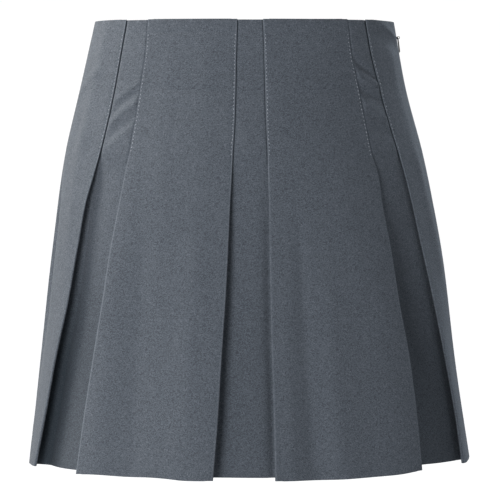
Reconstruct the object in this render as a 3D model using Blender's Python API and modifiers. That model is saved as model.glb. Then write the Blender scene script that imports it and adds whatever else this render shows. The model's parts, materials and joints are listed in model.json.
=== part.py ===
"""Pleated mini skirt, worn and hollow: front and back panels, inset strips, side pieces and a concealed zip.

Metres in the scene, millimetres in the tables. The origin is the middle of the waist opening, +Z is up, the
front faces -Y and +X is the side with the zip. The cloth lies on a worn outline, an ellipse at each height.
An angle runs round it from the centre front (0) over the +X side (90) to the centre back (180). Depth is
how far a point lies inside that outline. Each pleat is an inverted one: a panel turns under at its fold, its
return runs back under it, and the inset strip is seamed to the end of the return.
"""

import math
from collections import namedtuple

import bpy
import numpy as np
from mathutils import Matrix

MM = 0.001
COLLECTION = "pleated_mini_skirt"

# Driving dimensions, in millimetres.
WALL = 1.0
SEAM_GAP = 0.4
LAYER_GAP = 0.7  # between layers that curve together, so that their facets stay 0.3 mm apart
RELEASE_DROP = 118.0  # the pleats are stitched down from the waist to here
HEM_DROP_MEAN = 398.0
HEM_DROP_FRONT = 2.6  # the centre front hangs this much lower than the mean
HEM_DROP_LEFT = 3.0  # and the -X side this much
WAIST_TILT = 1.2  # the -X side of the waist edge stands this much higher than the middle
INSET_HEM_LIFT = 1.4  # the inset strips end this much higher than the panels
FOLD_ROLL_TOP = 0.65  # radius of a fold, to the middle of the wall, where it is stitched down
FOLD_ROLL_HEM = 2.0  # and at the hem
RETURN_TOP = 13.0  # how far a return reaches under its panel at the waist
RETURN_HEM = 21.0  # and at the hem
OPENING_POWER = 0.85  # how the recess of an inset grows from the release to the hem
LOW_DROP = 300.0  # a drop in the open part of the pleats, where the middle of a piece is read
SHARP_EDGE = 50.0  # degrees, above which the shading of the cloth breaks

# Shares of the length, waist to hem, where each piece has a ring of points.
RINGS = (0.0, 0.03, 0.06, 0.13, 0.21, 0.295, 0.34, 0.4, 0.48, 0.57, 0.67, 0.78, 0.89, 1.0)
PANEL_STEPS = 9
SIDE_STEPS = 6
INSET_STEPS = 6
FOLD_STEPS = 4

# The worn outline, a row for each height.
Section = namedtuple("Section", "drop half_width half_front half_back drift")
OUTLINE = (
    Section(0.0, 136.7, 92.0, 92.0, 0.3),
    Section(60.0, 149.0, 104.0, 109.0, -0.2),
    Section(120.0, 163.0, 119.0, 127.0, 0.8),
    Section(200.0, 176.4, 134.0, 142.0, 2.6),
    Section(300.0, 188.2, 149.0, 153.0, 3.6),
    Section(400.0, 200.8, 165.0, 163.0, 5.9),
)

# Where each fold of the front runs, as degrees round the outline at five drops and the hem.
FOLD_DROPS = (0.0, 60.0, 120.0, 200.0, 300.0, 400.0)
Fold = namedtuple("Fold", "name at_waist at_60 at_120 at_200 at_300 at_hem")
FRONT_FOLDS = (
    Fold("side_left", -50.0, -50.0, -52.0, -57.7, -64.7, -72.6),
    Fold("outer_left", -37.9, -37.6, -38.6, -42.6, -46.4, -49.9),
    Fold("inner_left", -2.4, -2.5, -3.4, -5.1, -6.8, -9.2),
    Fold("inner_right", 7.3, 7.5, 7.2, 6.6, 6.5, 6.2),
    Fold("outer_right", 42.3, 43.4, 43.8, 46.2, 49.2, 49.5),
    Fold("side_right", 52.4, 54.7, 57.6, 62.0, 68.2, 71.7),
)
# The folds of the back on the +X side. Those on the -X side mirror them.
BACK_FOLDS = (
    Fold("back_side", 128.6, 127.6, 125.2, 120.0, 113.4, 108.0),
    Fold("back_outer", 139.8, 139.6, 139.0, 135.8, 132.0, 130.2),
    Fold("back_inner", 175.0, 174.9, 174.6, 174.0, 173.3, 172.3),
)
SEAMS = {"seam_right": 90.0, "seam_left": 270.0}

# Each panel runs from one edge to the next, the way that the angle grows.
Panel = namedtuple("Panel", "name first last steps colour")
PANELS = (
    Panel("front_panel_left", "outer_left", "inner_left", PANEL_STEPS, "5f656d"),
    Panel("front_panel_right", "inner_right", "outer_right", PANEL_STEPS, "5c626a"),
    Panel("side_front_right", "side_right", "seam_right", SIDE_STEPS, "5a6068"),
    Panel("side_back_right", "seam_right", "back_side_right", SIDE_STEPS, "565c64"),
    Panel("back_panel_right", "back_outer_right", "back_inner_right", PANEL_STEPS, "5c626a"),
    Panel("back_panel_left", "back_inner_left", "back_outer_left", PANEL_STEPS, "5c626a"),
    Panel("side_back_left", "back_side_left", "seam_left", SIDE_STEPS, "666c74"),
    Panel("side_front_left", "seam_left", "side_left_round", SIDE_STEPS, "6a7078"),
)

# Each inset strip lies behind two folds. At the hem each return reaches this much deeper than its own roll.
Inset = namedtuple("Inset", "name first last recess_first recess_last colour")
INSETS = (
    Inset("front_inset_left", "side_left", "outer_left", 5.5, 11.5, "565c64"),
    Inset("front_inset_centre", "inner_left", "inner_right", 8.5, 8.5, "50565e"),
    Inset("front_inset_right", "outer_right", "side_right", 11.5, 5.5, "444a52"),
    Inset("back_inset_right", "back_side_right", "back_outer_right", 5.5, 11.5, "444a52"),
    Inset("back_inset_centre", "back_inner_right", "back_inner_left", 8.5, 8.5, "50565e"),
    Inset("back_inset_left", "back_outer_left", "back_side_left", 11.5, 5.5, "565c64"),
)

# The largest soft waves of the cloth: how far each stands out (or in, below 0) at its middle, and where
# it starts, is fullest and has faded, in drops.
Wave = namedtuple("Wave", "angle half_angle swell start full fade")
WAVES = (
    Wave(-34.4, 11.0, -3.0, 200.0, 400.0, 900.0),
    Wave(-20.6, 10.0, 2.4, 240.0, 400.0, 900.0),
    Wave(17.5, 9.0, -2.6, 230.0, 400.0, 900.0),
    Wave(29.0, 10.0, 2.2, 250.0, 400.0, 900.0),
    Wave(76.0, 13.0, 1.4, 110.0, 210.0, 330.0),
    Wave(150.0, 12.0, 2.6, 220.0, 400.0, 900.0),
    Wave(163.0, 9.0, -2.4, 240.0, 400.0, 900.0),
    Wave(204.0, 11.0, 2.2, 230.0, 400.0, 900.0),
    Wave(218.0, 9.0, -2.6, 210.0, 400.0, 900.0),
    Wave(258.0, 13.0, 2.6, 140.0, 250.0, 380.0),
    Wave(276.0, 13.0, -3.0, 140.0, 250.0, 380.0),
)

# The concealed zip in the +X side seam.
ZIP_TOP_DROP = 2.0
ZIP_END_DROP = 184.0
TAPE_WIDTH = 12.0
ZIP_RINGS = 12
SLIDER_DROP = 13.0  # the slider's lug, where the pull tab hangs
SLIDER_LENGTH = 8.5
SLIDER_WIDTH = 5.0
SLIDER_THICK = 2.6
SLIDER_EDGE = 0.5  # width of its bevelled edges
NECK_SINK = 1.0  # how deep the lug's neck is sunk into the slider's body
LUG_THICK = 1.0
LUG_RADIUS = 1.3
NECK_HALF = 1.1
NECK_THICK = 0.9
LUG_HOLE_RADIUS = 0.8
LUG_OUT = 1.35  # the middle of the lug's hole stands this far out from the cloth
LUG_PARTING = 1.8  # the seam's edges are this far apart beside the lug
PARTING_FADE = (18.0, 24.0)  # and close to a plain seam between these drops
TAB_THICK = 0.7
TAB_BAR = 0.55  # height of the bar that turns in the lug
TAB_EYE_HALF = 0.9
TAB_EYE_LENGTH = 2.0
TAB_SHOULDER_HALF = 1.75
TAB_FOOT_HALF = 2.3
TAB_LENGTH = 13.5
TAB_FOOT_STEPS = 8


def smooth_through(stations, values, at):
    """The values at these places of a smooth curve through the stations, its slopes from their neighbours."""
    stations, values = np.array(stations), np.array(values)
    slopes = np.gradient(values, stations)
    i = np.clip(np.searchsorted(stations, at) - 1, 0, len(stations) - 2)
    step = stations[i + 1] - stations[i]
    t = (at - stations[i]) / step
    start = values[i] * (2 * t**3 - 3 * t**2 + 1) + slopes[i] * step * (t**3 - 2 * t**2 + t)
    end = values[i + 1] * (3 * t**2 - 2 * t**3) + slopes[i + 1] * step * (t**3 - t**2)
    return start + end


def outline_at(drop, column):
    """A column of the outline at these drops."""
    return smooth_through([row.drop for row in OUTLINE], [getattr(row, column) for row in OUTLINE], drop)


def ease(share):
    """0 to 1 with a soft start and end."""
    share = np.clip(share, 0.0, 1.0)
    return share * share * (3 - 2 * share)


def swell_at(angle, drop):
    """How far the soft waves stand out from the outline."""
    total = np.zeros(np.broadcast(angle, drop).shape)
    for wave in WAVES:
        off = (np.degrees(angle) - wave.angle + 180.0) % 360.0 - 180.0
        across = 0.5 + 0.5 * np.cos(math.pi * np.clip(off / wave.half_angle, -1.0, 1.0))
        rise = ease((drop - wave.start) / (wave.full - wave.start))
        fall = 1.0 - ease((drop - wave.full) / (wave.fade - wave.full))
        total = total + wave.swell * across * rise * fall
    return total


def half_depth(angle, drop):
    """The outline's half depth on the side, front or back, that this angle is on."""
    return np.where(np.cos(angle) >= 0, outline_at(drop, "half_front"), outline_at(drop, "half_back"))


def cloth_point(angle, drop, depth):
    """Points this deep inside the worn outline, in metres."""
    a, b = outline_at(drop, "half_width"), half_depth(angle, drop)
    out_x, out_y = np.sin(angle) / a, -np.cos(angle) / b
    size = np.hypot(out_x, out_y)
    off = swell_at(angle, drop) - depth
    x = outline_at(drop, "drift") + a * np.sin(angle) + off * out_x / size
    y = -b * np.cos(angle) + off * out_y / size
    z = -drop - WAIST_TILT * np.sin(angle) * (1.0 - drop / HEM_DROP_MEAN)
    return np.stack(np.broadcast_arrays(x, y, z), axis=-1) * MM


def turn_for(angle, drop, along):
    """The change of angle for a length along the outline."""
    a, b = outline_at(drop, "half_width"), half_depth(angle, drop)
    return along / np.hypot(a * np.cos(angle), b * np.sin(angle))


def hem_drop(angle):
    """How far below the waist the hem of the panels lies."""
    return HEM_DROP_MEAN + HEM_DROP_FRONT * np.cos(angle) - HEM_DROP_LEFT * np.sin(angle)


def fold_angles():
    """Degrees at FOLD_DROPS of every fold and seam, by name."""
    found = {fold.name: np.array(fold[1:]) for fold in FRONT_FOLDS}
    for fold in BACK_FOLDS:
        found[fold.name + "_right"] = np.array(fold[1:])
        found[fold.name + "_left"] = 360.0 - np.array(fold[1:])
    for name, angle in SEAMS.items():
        found[name] = np.full(len(FOLD_DROPS), angle)
    found["side_left_round"] = found["side_left"] + 360.0
    return found


EDGES = fold_angles()


def edge_angle(name, drop):
    """The angle, in radians, of a fold or seam at these drops."""
    return np.radians(smooth_through(FOLD_DROPS, EDGES[name], drop))


def opened(drop):
    """How far a pleat has opened, from 0 at the release to 1 at the hem."""
    share = np.clip((drop - RELEASE_DROP) / (HEM_DROP_MEAN - RELEASE_DROP), 0.0, None)
    return share**OPENING_POWER


def fold_roll(drop):
    """Radius of a fold, to the middle of its wall."""
    return FOLD_ROLL_TOP + (FOLD_ROLL_HEM - FOLD_ROLL_TOP) * opened(drop)


def return_reach(drop):
    """How far a return reaches under its panel."""
    return RETURN_TOP + (RETURN_HEM - RETURN_TOP) * drop / HEM_DROP_MEAN


def return_depth(drop, recess):
    """Depth of the end of a return, to the middle of its wall."""
    return WALL / 2 + 2 * fold_roll(drop) + recess * opened(drop)


def recess_of(edge):
    """The recess at the hem of the inset that lies behind this fold."""
    for inset in INSETS:
        if edge in (inset.first, inset.first + "_round"):
            return inset.recess_first
        if edge == inset.last:
            return inset.recess_last
    return 0.0


def panel_edge(edge, inward, drop):
    """(angles, depths) from the free end of a panel to its face, a row for each point and a column a ring.

    A fold goes from the end of its return, round a half circle, to the face. inward is 1 where the panel lies
    on the side of growing angles, and -1 on the other.
    """
    at = edge_angle(edge, drop)
    if edge in SEAMS:
        parting = SEAM_GAP
        if edge == "seam_right":
            open_share = 1.0 - ease((drop - PARTING_FADE[0]) / (PARTING_FADE[1] - PARTING_FADE[0]))
            parting = SEAM_GAP + (LUG_PARTING - SEAM_GAP) * open_share
        turn = turn_for(at, drop, parting / 2)
        return np.array([at + inward * turn]), np.full((1, len(drop)), WALL / 2)
    roll = fold_roll(drop)
    middle = WALL / 2 + roll
    along, depth = [return_reach(drop)], [return_depth(drop, recess_of(edge))]
    for step in range(FOLD_STEPS + 1):
        turn = math.pi * step / FOLD_STEPS
        along.append(middle - roll * math.sin(turn))
        depth.append(middle + roll * math.cos(turn))
    turns = [turn_for(at, drop, length) for length in along]
    return np.array([at + inward * turn for turn in turns]), np.array(depth)


def panel_surface(panel):
    """The middle of a panel's wall, as rings of points."""
    rings = np.array(RINGS)
    middle_angle = (edge_angle(panel.first, LOW_DROP) + edge_angle(panel.last, LOW_DROP)) / 2
    drop = rings * hem_drop(middle_angle)
    first_angle, first_depth = panel_edge(panel.first, 1, drop)
    last_angle, last_depth = panel_edge(panel.last, -1, drop)
    shares = (np.arange(1, panel.steps) / panel.steps)[:, None]
    face = first_angle[-1] + shares * (last_angle[-1] - first_angle[-1])
    angle = np.concatenate([first_angle, face, last_angle[::-1]])
    depth = np.concatenate([first_depth, np.full(face.shape, WALL / 2), last_depth[::-1]])
    return cloth_point(angle, rings * hem_drop(angle), depth)


def inset_surface(inset):
    """The middle of an inset's wall, as rings of points, from under one return to under the other."""
    rings = np.array(RINGS)
    middle_angle = (edge_angle(inset.first, LOW_DROP) + edge_angle(inset.last, LOW_DROP)) / 2
    drop = rings * (hem_drop(middle_angle) - INSET_HEM_LIFT)
    start, end = edge_angle(inset.first, drop), edge_angle(inset.last, drop)
    start = start - turn_for(start, drop, return_reach(drop))
    end = end + turn_for(end, drop, return_reach(drop))
    share = np.linspace(0.0, 1.0, INSET_STEPS + 1)[:, None]
    angle = start + share * (end - start)
    recess = inset.recess_first + share * (inset.recess_last - inset.recess_first)
    depth = return_depth(drop, recess) + WALL + LAYER_GAP
    return cloth_point(angle, rings * (hem_drop(angle) - INSET_HEM_LIFT), depth)


def tape_surface(first, last):
    """The middle of a zip tape's wall, between two lengths along the outline from the side seam."""
    drop = np.linspace(ZIP_TOP_DROP, ZIP_END_DROP, ZIP_RINGS)
    seam = edge_angle("seam_right", drop)
    parting = ease((drop - PARTING_FADE[0]) / (PARTING_FADE[1] - PARTING_FADE[0]))
    spread = (LUG_PARTING - SEAM_GAP) / 2 * (1.0 - parting)
    along = np.array([[first], [last]]) + np.sign(first + last) * spread
    angle = seam + turn_for(seam, drop, along)
    return cloth_point(angle, drop, WALL / 2 + WALL + LAYER_GAP)


def material(name, colour, roughness, metallic=0.0):
    """A plain surface of this sRGB colour."""
    srgb = [int(colour[i : i + 2], 16) / 255 for i in (0, 2, 4)]
    linear = [c / 12.92 if c <= 0.04045 else ((c + 0.055) / 1.055) ** 2.4 for c in srgb]
    made = bpy.data.materials.new(name)
    made.use_nodes = True
    shader = made.node_tree.nodes["Principled BSDF"]
    shader.inputs["Base Color"].default_value = (*linear, 1.0)
    shader.inputs["Roughness"].default_value = roughness
    shader.inputs["Metallic"].default_value = metallic
    return made


def add_object(name, data, collection, finish):
    """An object of the collection with its own material."""
    made = bpy.data.objects.new(name, data)
    collection.objects.link(made)
    made.data.materials.append(finish)
    return made


def cloth_wall(name, surface, collection, colour):
    """A sheet of cloth: a grid of points, thickened both ways to a wall."""
    across, rings = surface.shape[:2]
    corner = np.arange(across - 1)[:, None] * rings + np.arange(rings - 1)
    faces = np.stack([corner, corner + rings, corner + rings + 1, corner + 1], axis=-1).reshape(-1, 4)
    mesh = bpy.data.meshes.new(name)
    mesh.from_pydata(surface.reshape(-1, 3).tolist(), [], faces.tolist())
    made = add_object(name, mesh, collection, material(name, colour, 0.9))
    wall = made.modifiers.new("Wall", "SOLIDIFY")
    wall.thickness = WALL * MM
    wall.offset = 0.0
    wall.use_even_offset = True
    mesh.shade_smooth()
    mesh.set_sharp_from_angle(angle=math.radians(SHARP_EDGE))
    return made


def seam_frame():
    """The point of the side seam beside the lug, and how far the cloth leans out there."""
    seam = math.radians(SEAMS["seam_right"])
    above = cloth_point(seam, SLIDER_DROP - SLIDER_LENGTH / 2, 0.0)
    here = cloth_point(seam, SLIDER_DROP, 0.0)
    below = cloth_point(seam, SLIDER_DROP + SLIDER_LENGTH / 2, 0.0)
    lean = math.atan2(below[0] - above[0], above[2] - below[2])
    return here, lean


def placed(made, lean, here):
    """Puts a piece that was made round the seam's point at its place, leaning with the cloth."""
    made.rotation_euler = (0.0, -lean, 0.0)
    made.location = here
    return made


def cutter(name, radius, length, cutters):
    """A hidden round bar along Y through the lug's hole."""
    bpy.ops.mesh.primitive_cylinder_add(vertices=16, radius=radius * MM, depth=length * MM)
    made = bpy.context.object
    made.name = name
    made.data.transform(Matrix.Translation((LUG_OUT * MM, 0.0, 0.0)) @ Matrix.Rotation(math.pi / 2, 4, "X"))
    for holder in made.users_collection:
        holder.objects.unlink(made)
    cutters.objects.link(made)
    made.hide_render = True
    made.display_type = "WIRE"
    return made


def block(name, low, high, collection, finish):
    """A box between two corners, in millimetres."""
    bpy.ops.mesh.primitive_cube_add(size=1.0)
    made = bpy.context.object
    made.name = name
    size = [(h - l) * MM for l, h in zip(low, high)]
    middle = [(h + l) / 2 * MM for l, h in zip(low, high)]
    made.data.transform(Matrix.Translation(middle) @ Matrix.Diagonal((*size, 1.0)))
    for holder in made.users_collection:
        holder.objects.unlink(made)
    collection.objects.link(made)
    if finish:
        made.data.materials.append(finish)
    return made


def boolean(made, other, operation):
    """A Boolean with a hidden helper."""
    step = made.modifiers.new(other.name, "BOOLEAN")
    step.operation = operation
    step.object = other


def zip_slider(collection, cutters):
    """The slider: its body lies inside on the tapes, and its lug comes out between the seam's edges."""
    here, lean = seam_frame()
    top_face = -(2 * WALL + LAYER_GAP + SEAM_GAP)
    low = (top_face - SLIDER_THICK, -SLIDER_WIDTH / 2, -SLIDER_LENGTH / 2)
    high = (top_face, SLIDER_WIDTH / 2, SLIDER_LENGTH / 2)
    made = block("zip_slider", low, high, collection, material("zip_slider", "4a4f57", 0.45, 0.2))
    bevel = made.modifiers.new("Edges", "BEVEL")
    bevel.width = SLIDER_EDGE * MM
    bevel.segments = 2
    neck_low = (top_face - NECK_SINK, -NECK_THICK / 2, -NECK_HALF)
    neck_high = (LUG_OUT, NECK_THICK / 2, NECK_HALF)
    neck = block("slider_neck", neck_low, neck_high, cutters, None)
    neck.hide_render = True
    neck.display_type = "WIRE"
    eye = cutter("slider_eye", LUG_RADIUS, LUG_THICK, cutters)
    hole = cutter("slider_hole", LUG_HOLE_RADIUS, 4 * LUG_THICK, cutters)
    boolean(made, neck, "UNION")
    boolean(made, eye, "UNION")
    boolean(made, hole, "DIFFERENCE")
    for piece in (made, neck, eye, hole):
        placed(piece, lean, here)
    return made


def closed_line(curve, points):
    """A closed outline of a flat curve, from (across, down) points in millimetres."""
    line = curve.splines.new("POLY")
    line.points.add(len(points) - 1)
    for point, (across, down) in zip(line.points, points):
        point.co = (across * MM, -down * MM, 0.0, 1.0)
    line.use_cyclic_u = True


def zip_tab(collection):
    """The pull tab: a flat drop with an eye, whose top bar turns in the lug's hole."""
    here, lean = seam_frame()
    curve = bpy.data.curves.new("zip_tab", "CURVE")
    curve.dimensions = "2D"
    curve.fill_mode = "BOTH"
    curve.extrude = TAB_THICK / 2 * MM
    foot = [math.pi * step / TAB_FOOT_STEPS for step in range(TAB_FOOT_STEPS + 1)]
    round_foot = [
        (TAB_FOOT_HALF * math.cos(turn), TAB_LENGTH - TAB_FOOT_HALF + TAB_FOOT_HALF * math.sin(turn))
        for turn in foot
    ]
    top = -TAB_BAR / 2
    shoulders = [(-TAB_SHOULDER_HALF, top), (TAB_SHOULDER_HALF, top)]
    closed_line(curve, shoulders + round_foot)
    eye_top, eye_foot = TAB_BAR / 2, TAB_BAR / 2 + TAB_EYE_LENGTH
    eye_head = [(-TAB_EYE_HALF, eye_top), (TAB_EYE_HALF, eye_top)]
    eye_base = [(TAB_EYE_HALF, eye_foot), (-TAB_EYE_HALF, eye_foot)]
    closed_line(curve, eye_head + eye_base)
    made = add_object("zip_tab", curve, collection, material("zip_tab", "4a4f57", 0.45, 0.2))
    out = (math.cos(lean) * LUG_OUT * MM, 0.0, math.sin(lean) * LUG_OUT * MM)
    made.location = tuple(here[i] + out[i] for i in range(3))
    made.rotation_euler = (math.pi / 2 - lean, 0.0, math.pi / 2)
    return made


def main():
    for old in list(bpy.data.objects):
        bpy.data.objects.remove(old)
    collection = bpy.data.collections.new(COLLECTION)
    cutters = bpy.data.collections.new("cutters")
    bpy.context.scene.collection.children.link(collection)
    bpy.context.scene.collection.children.link(cutters)
    for panel in PANELS:
        cloth_wall(panel.name, panel_surface(panel), collection, panel.colour)
    for inset in INSETS:
        cloth_wall(inset.name, inset_surface(inset), collection, inset.colour)
    half_gap = SEAM_GAP / 2
    tapes = {
        "zip_tape_front": (-TAPE_WIDTH - half_gap, -half_gap),
        "zip_tape_back": (half_gap, TAPE_WIDTH + half_gap),
    }
    for name, (first, last) in tapes.items():
        cloth_wall(name, tape_surface(first, last), collection, "3f444c")
    zip_slider(collection, cutters)
    zip_tab(collection)


main()
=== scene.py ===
"""The looks of a pleated mini skirt of slate worsted suiting, worn and hollow.

The cloth lies on a worn outline, an oval at each height. An angle runs round it from the centre front (0)
over the +X side (90) to the centre back (180), a drop runs down from the waist, and a depth goes in from the
outline. Every cloth piece is a thin closed shell on a grid of these three, and rides on the body that its
solid is in.
"""

import json
import logging
import math
from dataclasses import dataclass, field
from enum import Enum

import bpy
import numpy as np
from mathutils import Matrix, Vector


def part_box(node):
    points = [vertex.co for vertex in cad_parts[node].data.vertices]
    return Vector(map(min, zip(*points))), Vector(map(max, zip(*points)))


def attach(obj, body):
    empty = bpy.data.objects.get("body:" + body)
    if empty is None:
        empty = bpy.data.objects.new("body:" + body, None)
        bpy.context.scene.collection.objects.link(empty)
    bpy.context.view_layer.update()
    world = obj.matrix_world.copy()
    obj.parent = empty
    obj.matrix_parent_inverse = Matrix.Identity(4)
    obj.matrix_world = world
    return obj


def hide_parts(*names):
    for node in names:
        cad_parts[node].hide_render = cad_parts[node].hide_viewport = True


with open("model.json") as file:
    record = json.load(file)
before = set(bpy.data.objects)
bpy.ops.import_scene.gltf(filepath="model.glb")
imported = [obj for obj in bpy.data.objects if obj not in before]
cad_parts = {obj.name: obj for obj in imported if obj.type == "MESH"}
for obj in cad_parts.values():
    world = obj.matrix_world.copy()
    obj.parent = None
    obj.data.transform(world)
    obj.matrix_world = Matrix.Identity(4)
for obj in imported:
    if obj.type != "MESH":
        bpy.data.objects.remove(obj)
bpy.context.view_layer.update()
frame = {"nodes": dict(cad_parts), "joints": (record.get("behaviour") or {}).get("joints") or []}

LOG = logging.getLogger("skirt")
MM = 0.001
SKIRT_BODY = "skirt"
TAB_BODY = "pull_tab"

Array = np.ndarray


class Lie(Enum):
    """How the edge of a cloth piece is made."""

    FOLD = "fold"  # the edge of a pleat: the cloth turns under and runs back to the inset strip
    SEAM = "seam"  # a pressed seam: the allowance turns under


class Way(Enum):
    """Which way a piece lies from the line along its edge."""

    ON = 1.0  # on the side of growing angles
    BACK = -1.0


@dataclass(frozen=True)
class Section:
    """A row of the worn outline, in millimetres."""

    drop: float
    half_width: float
    half_front: float
    half_back: float
    drift: float


@dataclass(frozen=True)
class Wave:
    """A large soft wave: how far it stands out, and the drops where it starts, is fullest and has faded."""

    angle: float
    half_angle: float
    swell: float
    start: float
    full: float
    fade: float


@dataclass(frozen=True)
class Crease:
    """A soft trough (below 0) or ridge along a line from one (angle, drop) to another, in degrees and mm."""

    start: tuple[float, float]
    end: tuple[float, float]
    width: float
    height: float
    bow: float = 0.0  # how far the line's middle is moved sideways


SECTIONS = (
    Section(0.0, 135.7, 92.0, 92.0, 0.9),
    Section(60.0, 147.9, 104.0, 109.0, -0.5),
    Section(120.0, 162.7, 119.0, 127.0, 0.5),
    Section(200.0, 176.2, 134.0, 142.0, 2.4),
    Section(300.0, 188.0, 149.0, 153.0, 3.4),
    Section(400.0, 200.8, 165.0, 163.0, 5.9),
)

# Degrees round the outline of each line of the front, at these drops.
FRONT_DROPS = (0.0, 30.0, 60.0, 90.0, 120.0, 140.0, 160.0, 200.0, 250.0, 300.0, 350.0, 400.0)
FRONT_LINES = {
    "side_left": (-50.9, -50.7, -50.6, -51.0, -52.3, -53.8, -55.7, -57.5, -60.0, -64.4, -67.9, -72.5),
    "outer_left": (-39.2, -37.9, -37.9, -38.0, -38.7, -39.5, -40.3, -42.0, -43.4, -45.2, -46.9, -48.3),
    "inner_left": (-2.6, -2.5, -2.4, -2.7, -3.4, -3.8, -4.3, -5.0, -5.8, -6.8, -7.8, -9.1),
    "inner_right": (7.0, 7.5, 7.7, 7.5, 7.4, 7.2, 7.1, 6.7, 6.6, 6.6, 6.5, 6.2),
    "outer_right": (42.6, 42.8, 44.1, 44.2, 44.3, 45.4, 44.8, 45.3, 46.1, 47.8, 47.9, 47.2),
    "side_right": (53.0, 53.9, 56.0, 57.0, 58.6, 59.6, 60.4, 62.0, 65.6, 69.3, 71.3, 71.0),
}
# The lines of the back on the +X side; those on the -X side mirror them.
BACK_DROPS = (0.0, 60.0, 120.0, 200.0, 300.0, 400.0)
BACK_LINES = {
    "back_side": (128.6, 127.6, 125.2, 120.0, 113.4, 108.0),
    "back_outer": (139.8, 139.6, 139.0, 135.8, 132.0, 130.2),
    "back_inner": (175.0, 174.9, 174.6, 174.0, 173.3, 172.3),
}
SEAM_LINES = {"seam_right": 90.0, "seam_left": 270.0}

WAVES = (
    Wave(-32.5, 11.0, -3.2, 130.0, 300.0, 900.0),
    Wave(-14.5, 10.0, 2.8, 120.0, 300.0, 900.0),
    Wave(17.0, 7.5, -2.8, 180.0, 380.0, 900.0),
    Wave(25.0, 8.0, 1.4, 200.0, 380.0, 900.0),
    Wave(76.0, 13.0, 1.4, 110.0, 210.0, 330.0),
    Wave(150.0, 12.0, 2.6, 220.0, 400.0, 900.0),
    Wave(163.0, 9.0, -2.4, 240.0, 400.0, 900.0),
    Wave(204.0, 11.0, 2.2, 230.0, 400.0, 900.0),
    Wave(218.0, 9.0, -2.6, 210.0, 400.0, 900.0),
    Wave(258.0, 13.0, 2.6, 140.0, 250.0, 380.0),
    Wave(273.0, 13.0, -5.6, 110.0, 200.0, 400.0),
    Wave(269.8, 3.0, 4.2, 110.0, 200.0, 400.0),
)

# What the photo's hem adds to its mean line, in millimetres at these degrees round the outline.
HEM_ANGLES = (
    -180.0, -95.0, -76.0, -62.0, -50.0, -43.0, -32.0, -25.6, -21.0, -17.5, -10.0,
    6.5, 24.5, 33.0, 40.0, 46.0, 50.0, 62.0, 75.0, 95.0, 180.0,
)
HEM_TRIM = (
    0.0, 0.0, -2.4, -1.2, -1.2, -2.2, -1.1, -1.3, -0.6, 0.4, 0.8,
    1.9, 2.3, 1.7, 1.0, -0.6, -0.6, 0.2, 0.4, 0.0, 0.0,
)

# What the waist's edge adds, in the same way.
WAIST_ANGLES = (-180.0, -90.0, -60.0, -40.0, -20.0, 10.0, 30.0, 42.0, 56.0, 70.0, 90.0, 180.0)
WAIST_TRIM = (0.0, 0.2, 0.4, 0.3, 0.1, 0.0, 0.2, 0.6, 0.6, 0.0, -0.2, 0.0)
WAIST_FADE = 80.0  # the drop where the waist's trim has faded out

# Sizes below are in millimetres.
HEM_MEAN = 398.0  # drop of the hem
HEM_FRONT = 2.6  # how much lower it hangs at the centre front, and higher at the back
HEM_LEFT = 3.0  # how much lower it hangs at -X, and higher at +X
THIGH_LEVEL = 300.0  # the drop where a piece's middle and width are taken
PANEL_TOP = 0.2  # drop of the panels' top edge
INSET_TOP = 0.9  # drop of the strips' top edge, which lies a little lower
RELEASE = 118.0  # the pleats are stitched down to here

CLOTH = 0.5  # thickness of the suiting
NESTLE = 0.1  # air between two layers that lie on each other
REACH_TOP = 13.0  # how far a fold's return runs back at the waist
REACH_HEM = 21.0  # the same at the hem
SEAM_ROLL = 0.3  # radius of a pressed seam's edge, to the middle of the cloth
SEAM_REACH = 11.0  # how far a seam's allowance runs back
SEAM_GAP = -0.04  # room between a seam's two edges: none, so that no light shows through
HEM_TURN = 25.0  # the hem's turned edge
WAIST_TURN = 11.8  # the waist's turned edge
LIFT_FLAT = 3.0  # a lifted fold stands level this far
CREASE_END = 1.6  # how wide a crease's end falls off, in its widths

# The seam stands open beside the slider's lug, between these drops.
LUG_START = 10.0
LUG_OPENING = 1.6  # the run over which it opens
LUG_END = 16.5
LUG_CLOSING = 6.0  # the run over which it closes
LUG_GAP = 1.4  # how wide it is

# The edge stitches beside the folds.
STITCH_START = 14.0  # drop of the first one
STITCH_PITCH = 3.3
STITCH_LENGTH = 1.3
STITCH_RADIUS = 0.27
STITCH_INSET = 1.5  # how far they lie from the fold

# The grid of a cloth piece.
RING_COUNT = 150
EDGE_RUN = 9  # columns along a return
EDGE_TURN = 9  # columns round its edge
EDGE_CREST = 4  # how many of these lie on a pressed crest, before the face's first
EDGE_FACE = (0.5, 1.0, 1.6, 2.2, 3.0, 4.2)  # the first points of the face, beyond the edge
FACE_STEP = 2.6  # about how far two columns of a face lie apart at the thigh
STRIP_EDGE = (0.0, 0.2, 0.4, 0.6, 0.8, 1.0, 1.25, 1.6, 2.3, 3.6)  # the strip's first points beside a fold
STRIP_HIDDEN = 6  # its points under a return
STRIP_STEPS = 16  # the parts of its open width


def smooth_through(stations: tuple[float, ...], values: tuple[float, ...] | Array, at: Array) -> Array:
    """A smooth curve through the stations: cubic pieces whose slopes come from the neighbours.

    Args:
        stations: where the curve is known.
        values: what it is there.
        at: where it is wanted.

    Returns:
        The curve's values, in the shape of at.
    """
    x, y = np.array(stations), np.array(values)
    slope = np.gradient(y, x)
    i = np.clip(np.searchsorted(x, at) - 1, 0, len(x) - 2)
    step = x[i + 1] - x[i]
    t = (at - x[i]) / step
    first = y[i] * (2 * t**3 - 3 * t**2 + 1) + slope[i] * step * (t**3 - 2 * t**2 + t)
    second = y[i + 1] * (3 * t**2 - 2 * t**3) + slope[i + 1] * step * (t**3 - t**2)
    return first + second


def ease(share: Array) -> Array:
    """0 to 1 with a soft start and end: 3 s squared less 2 s cubed."""
    share = np.clip(share, 0.0, 1.0)
    return share * share * (3 - 2 * share)


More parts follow.
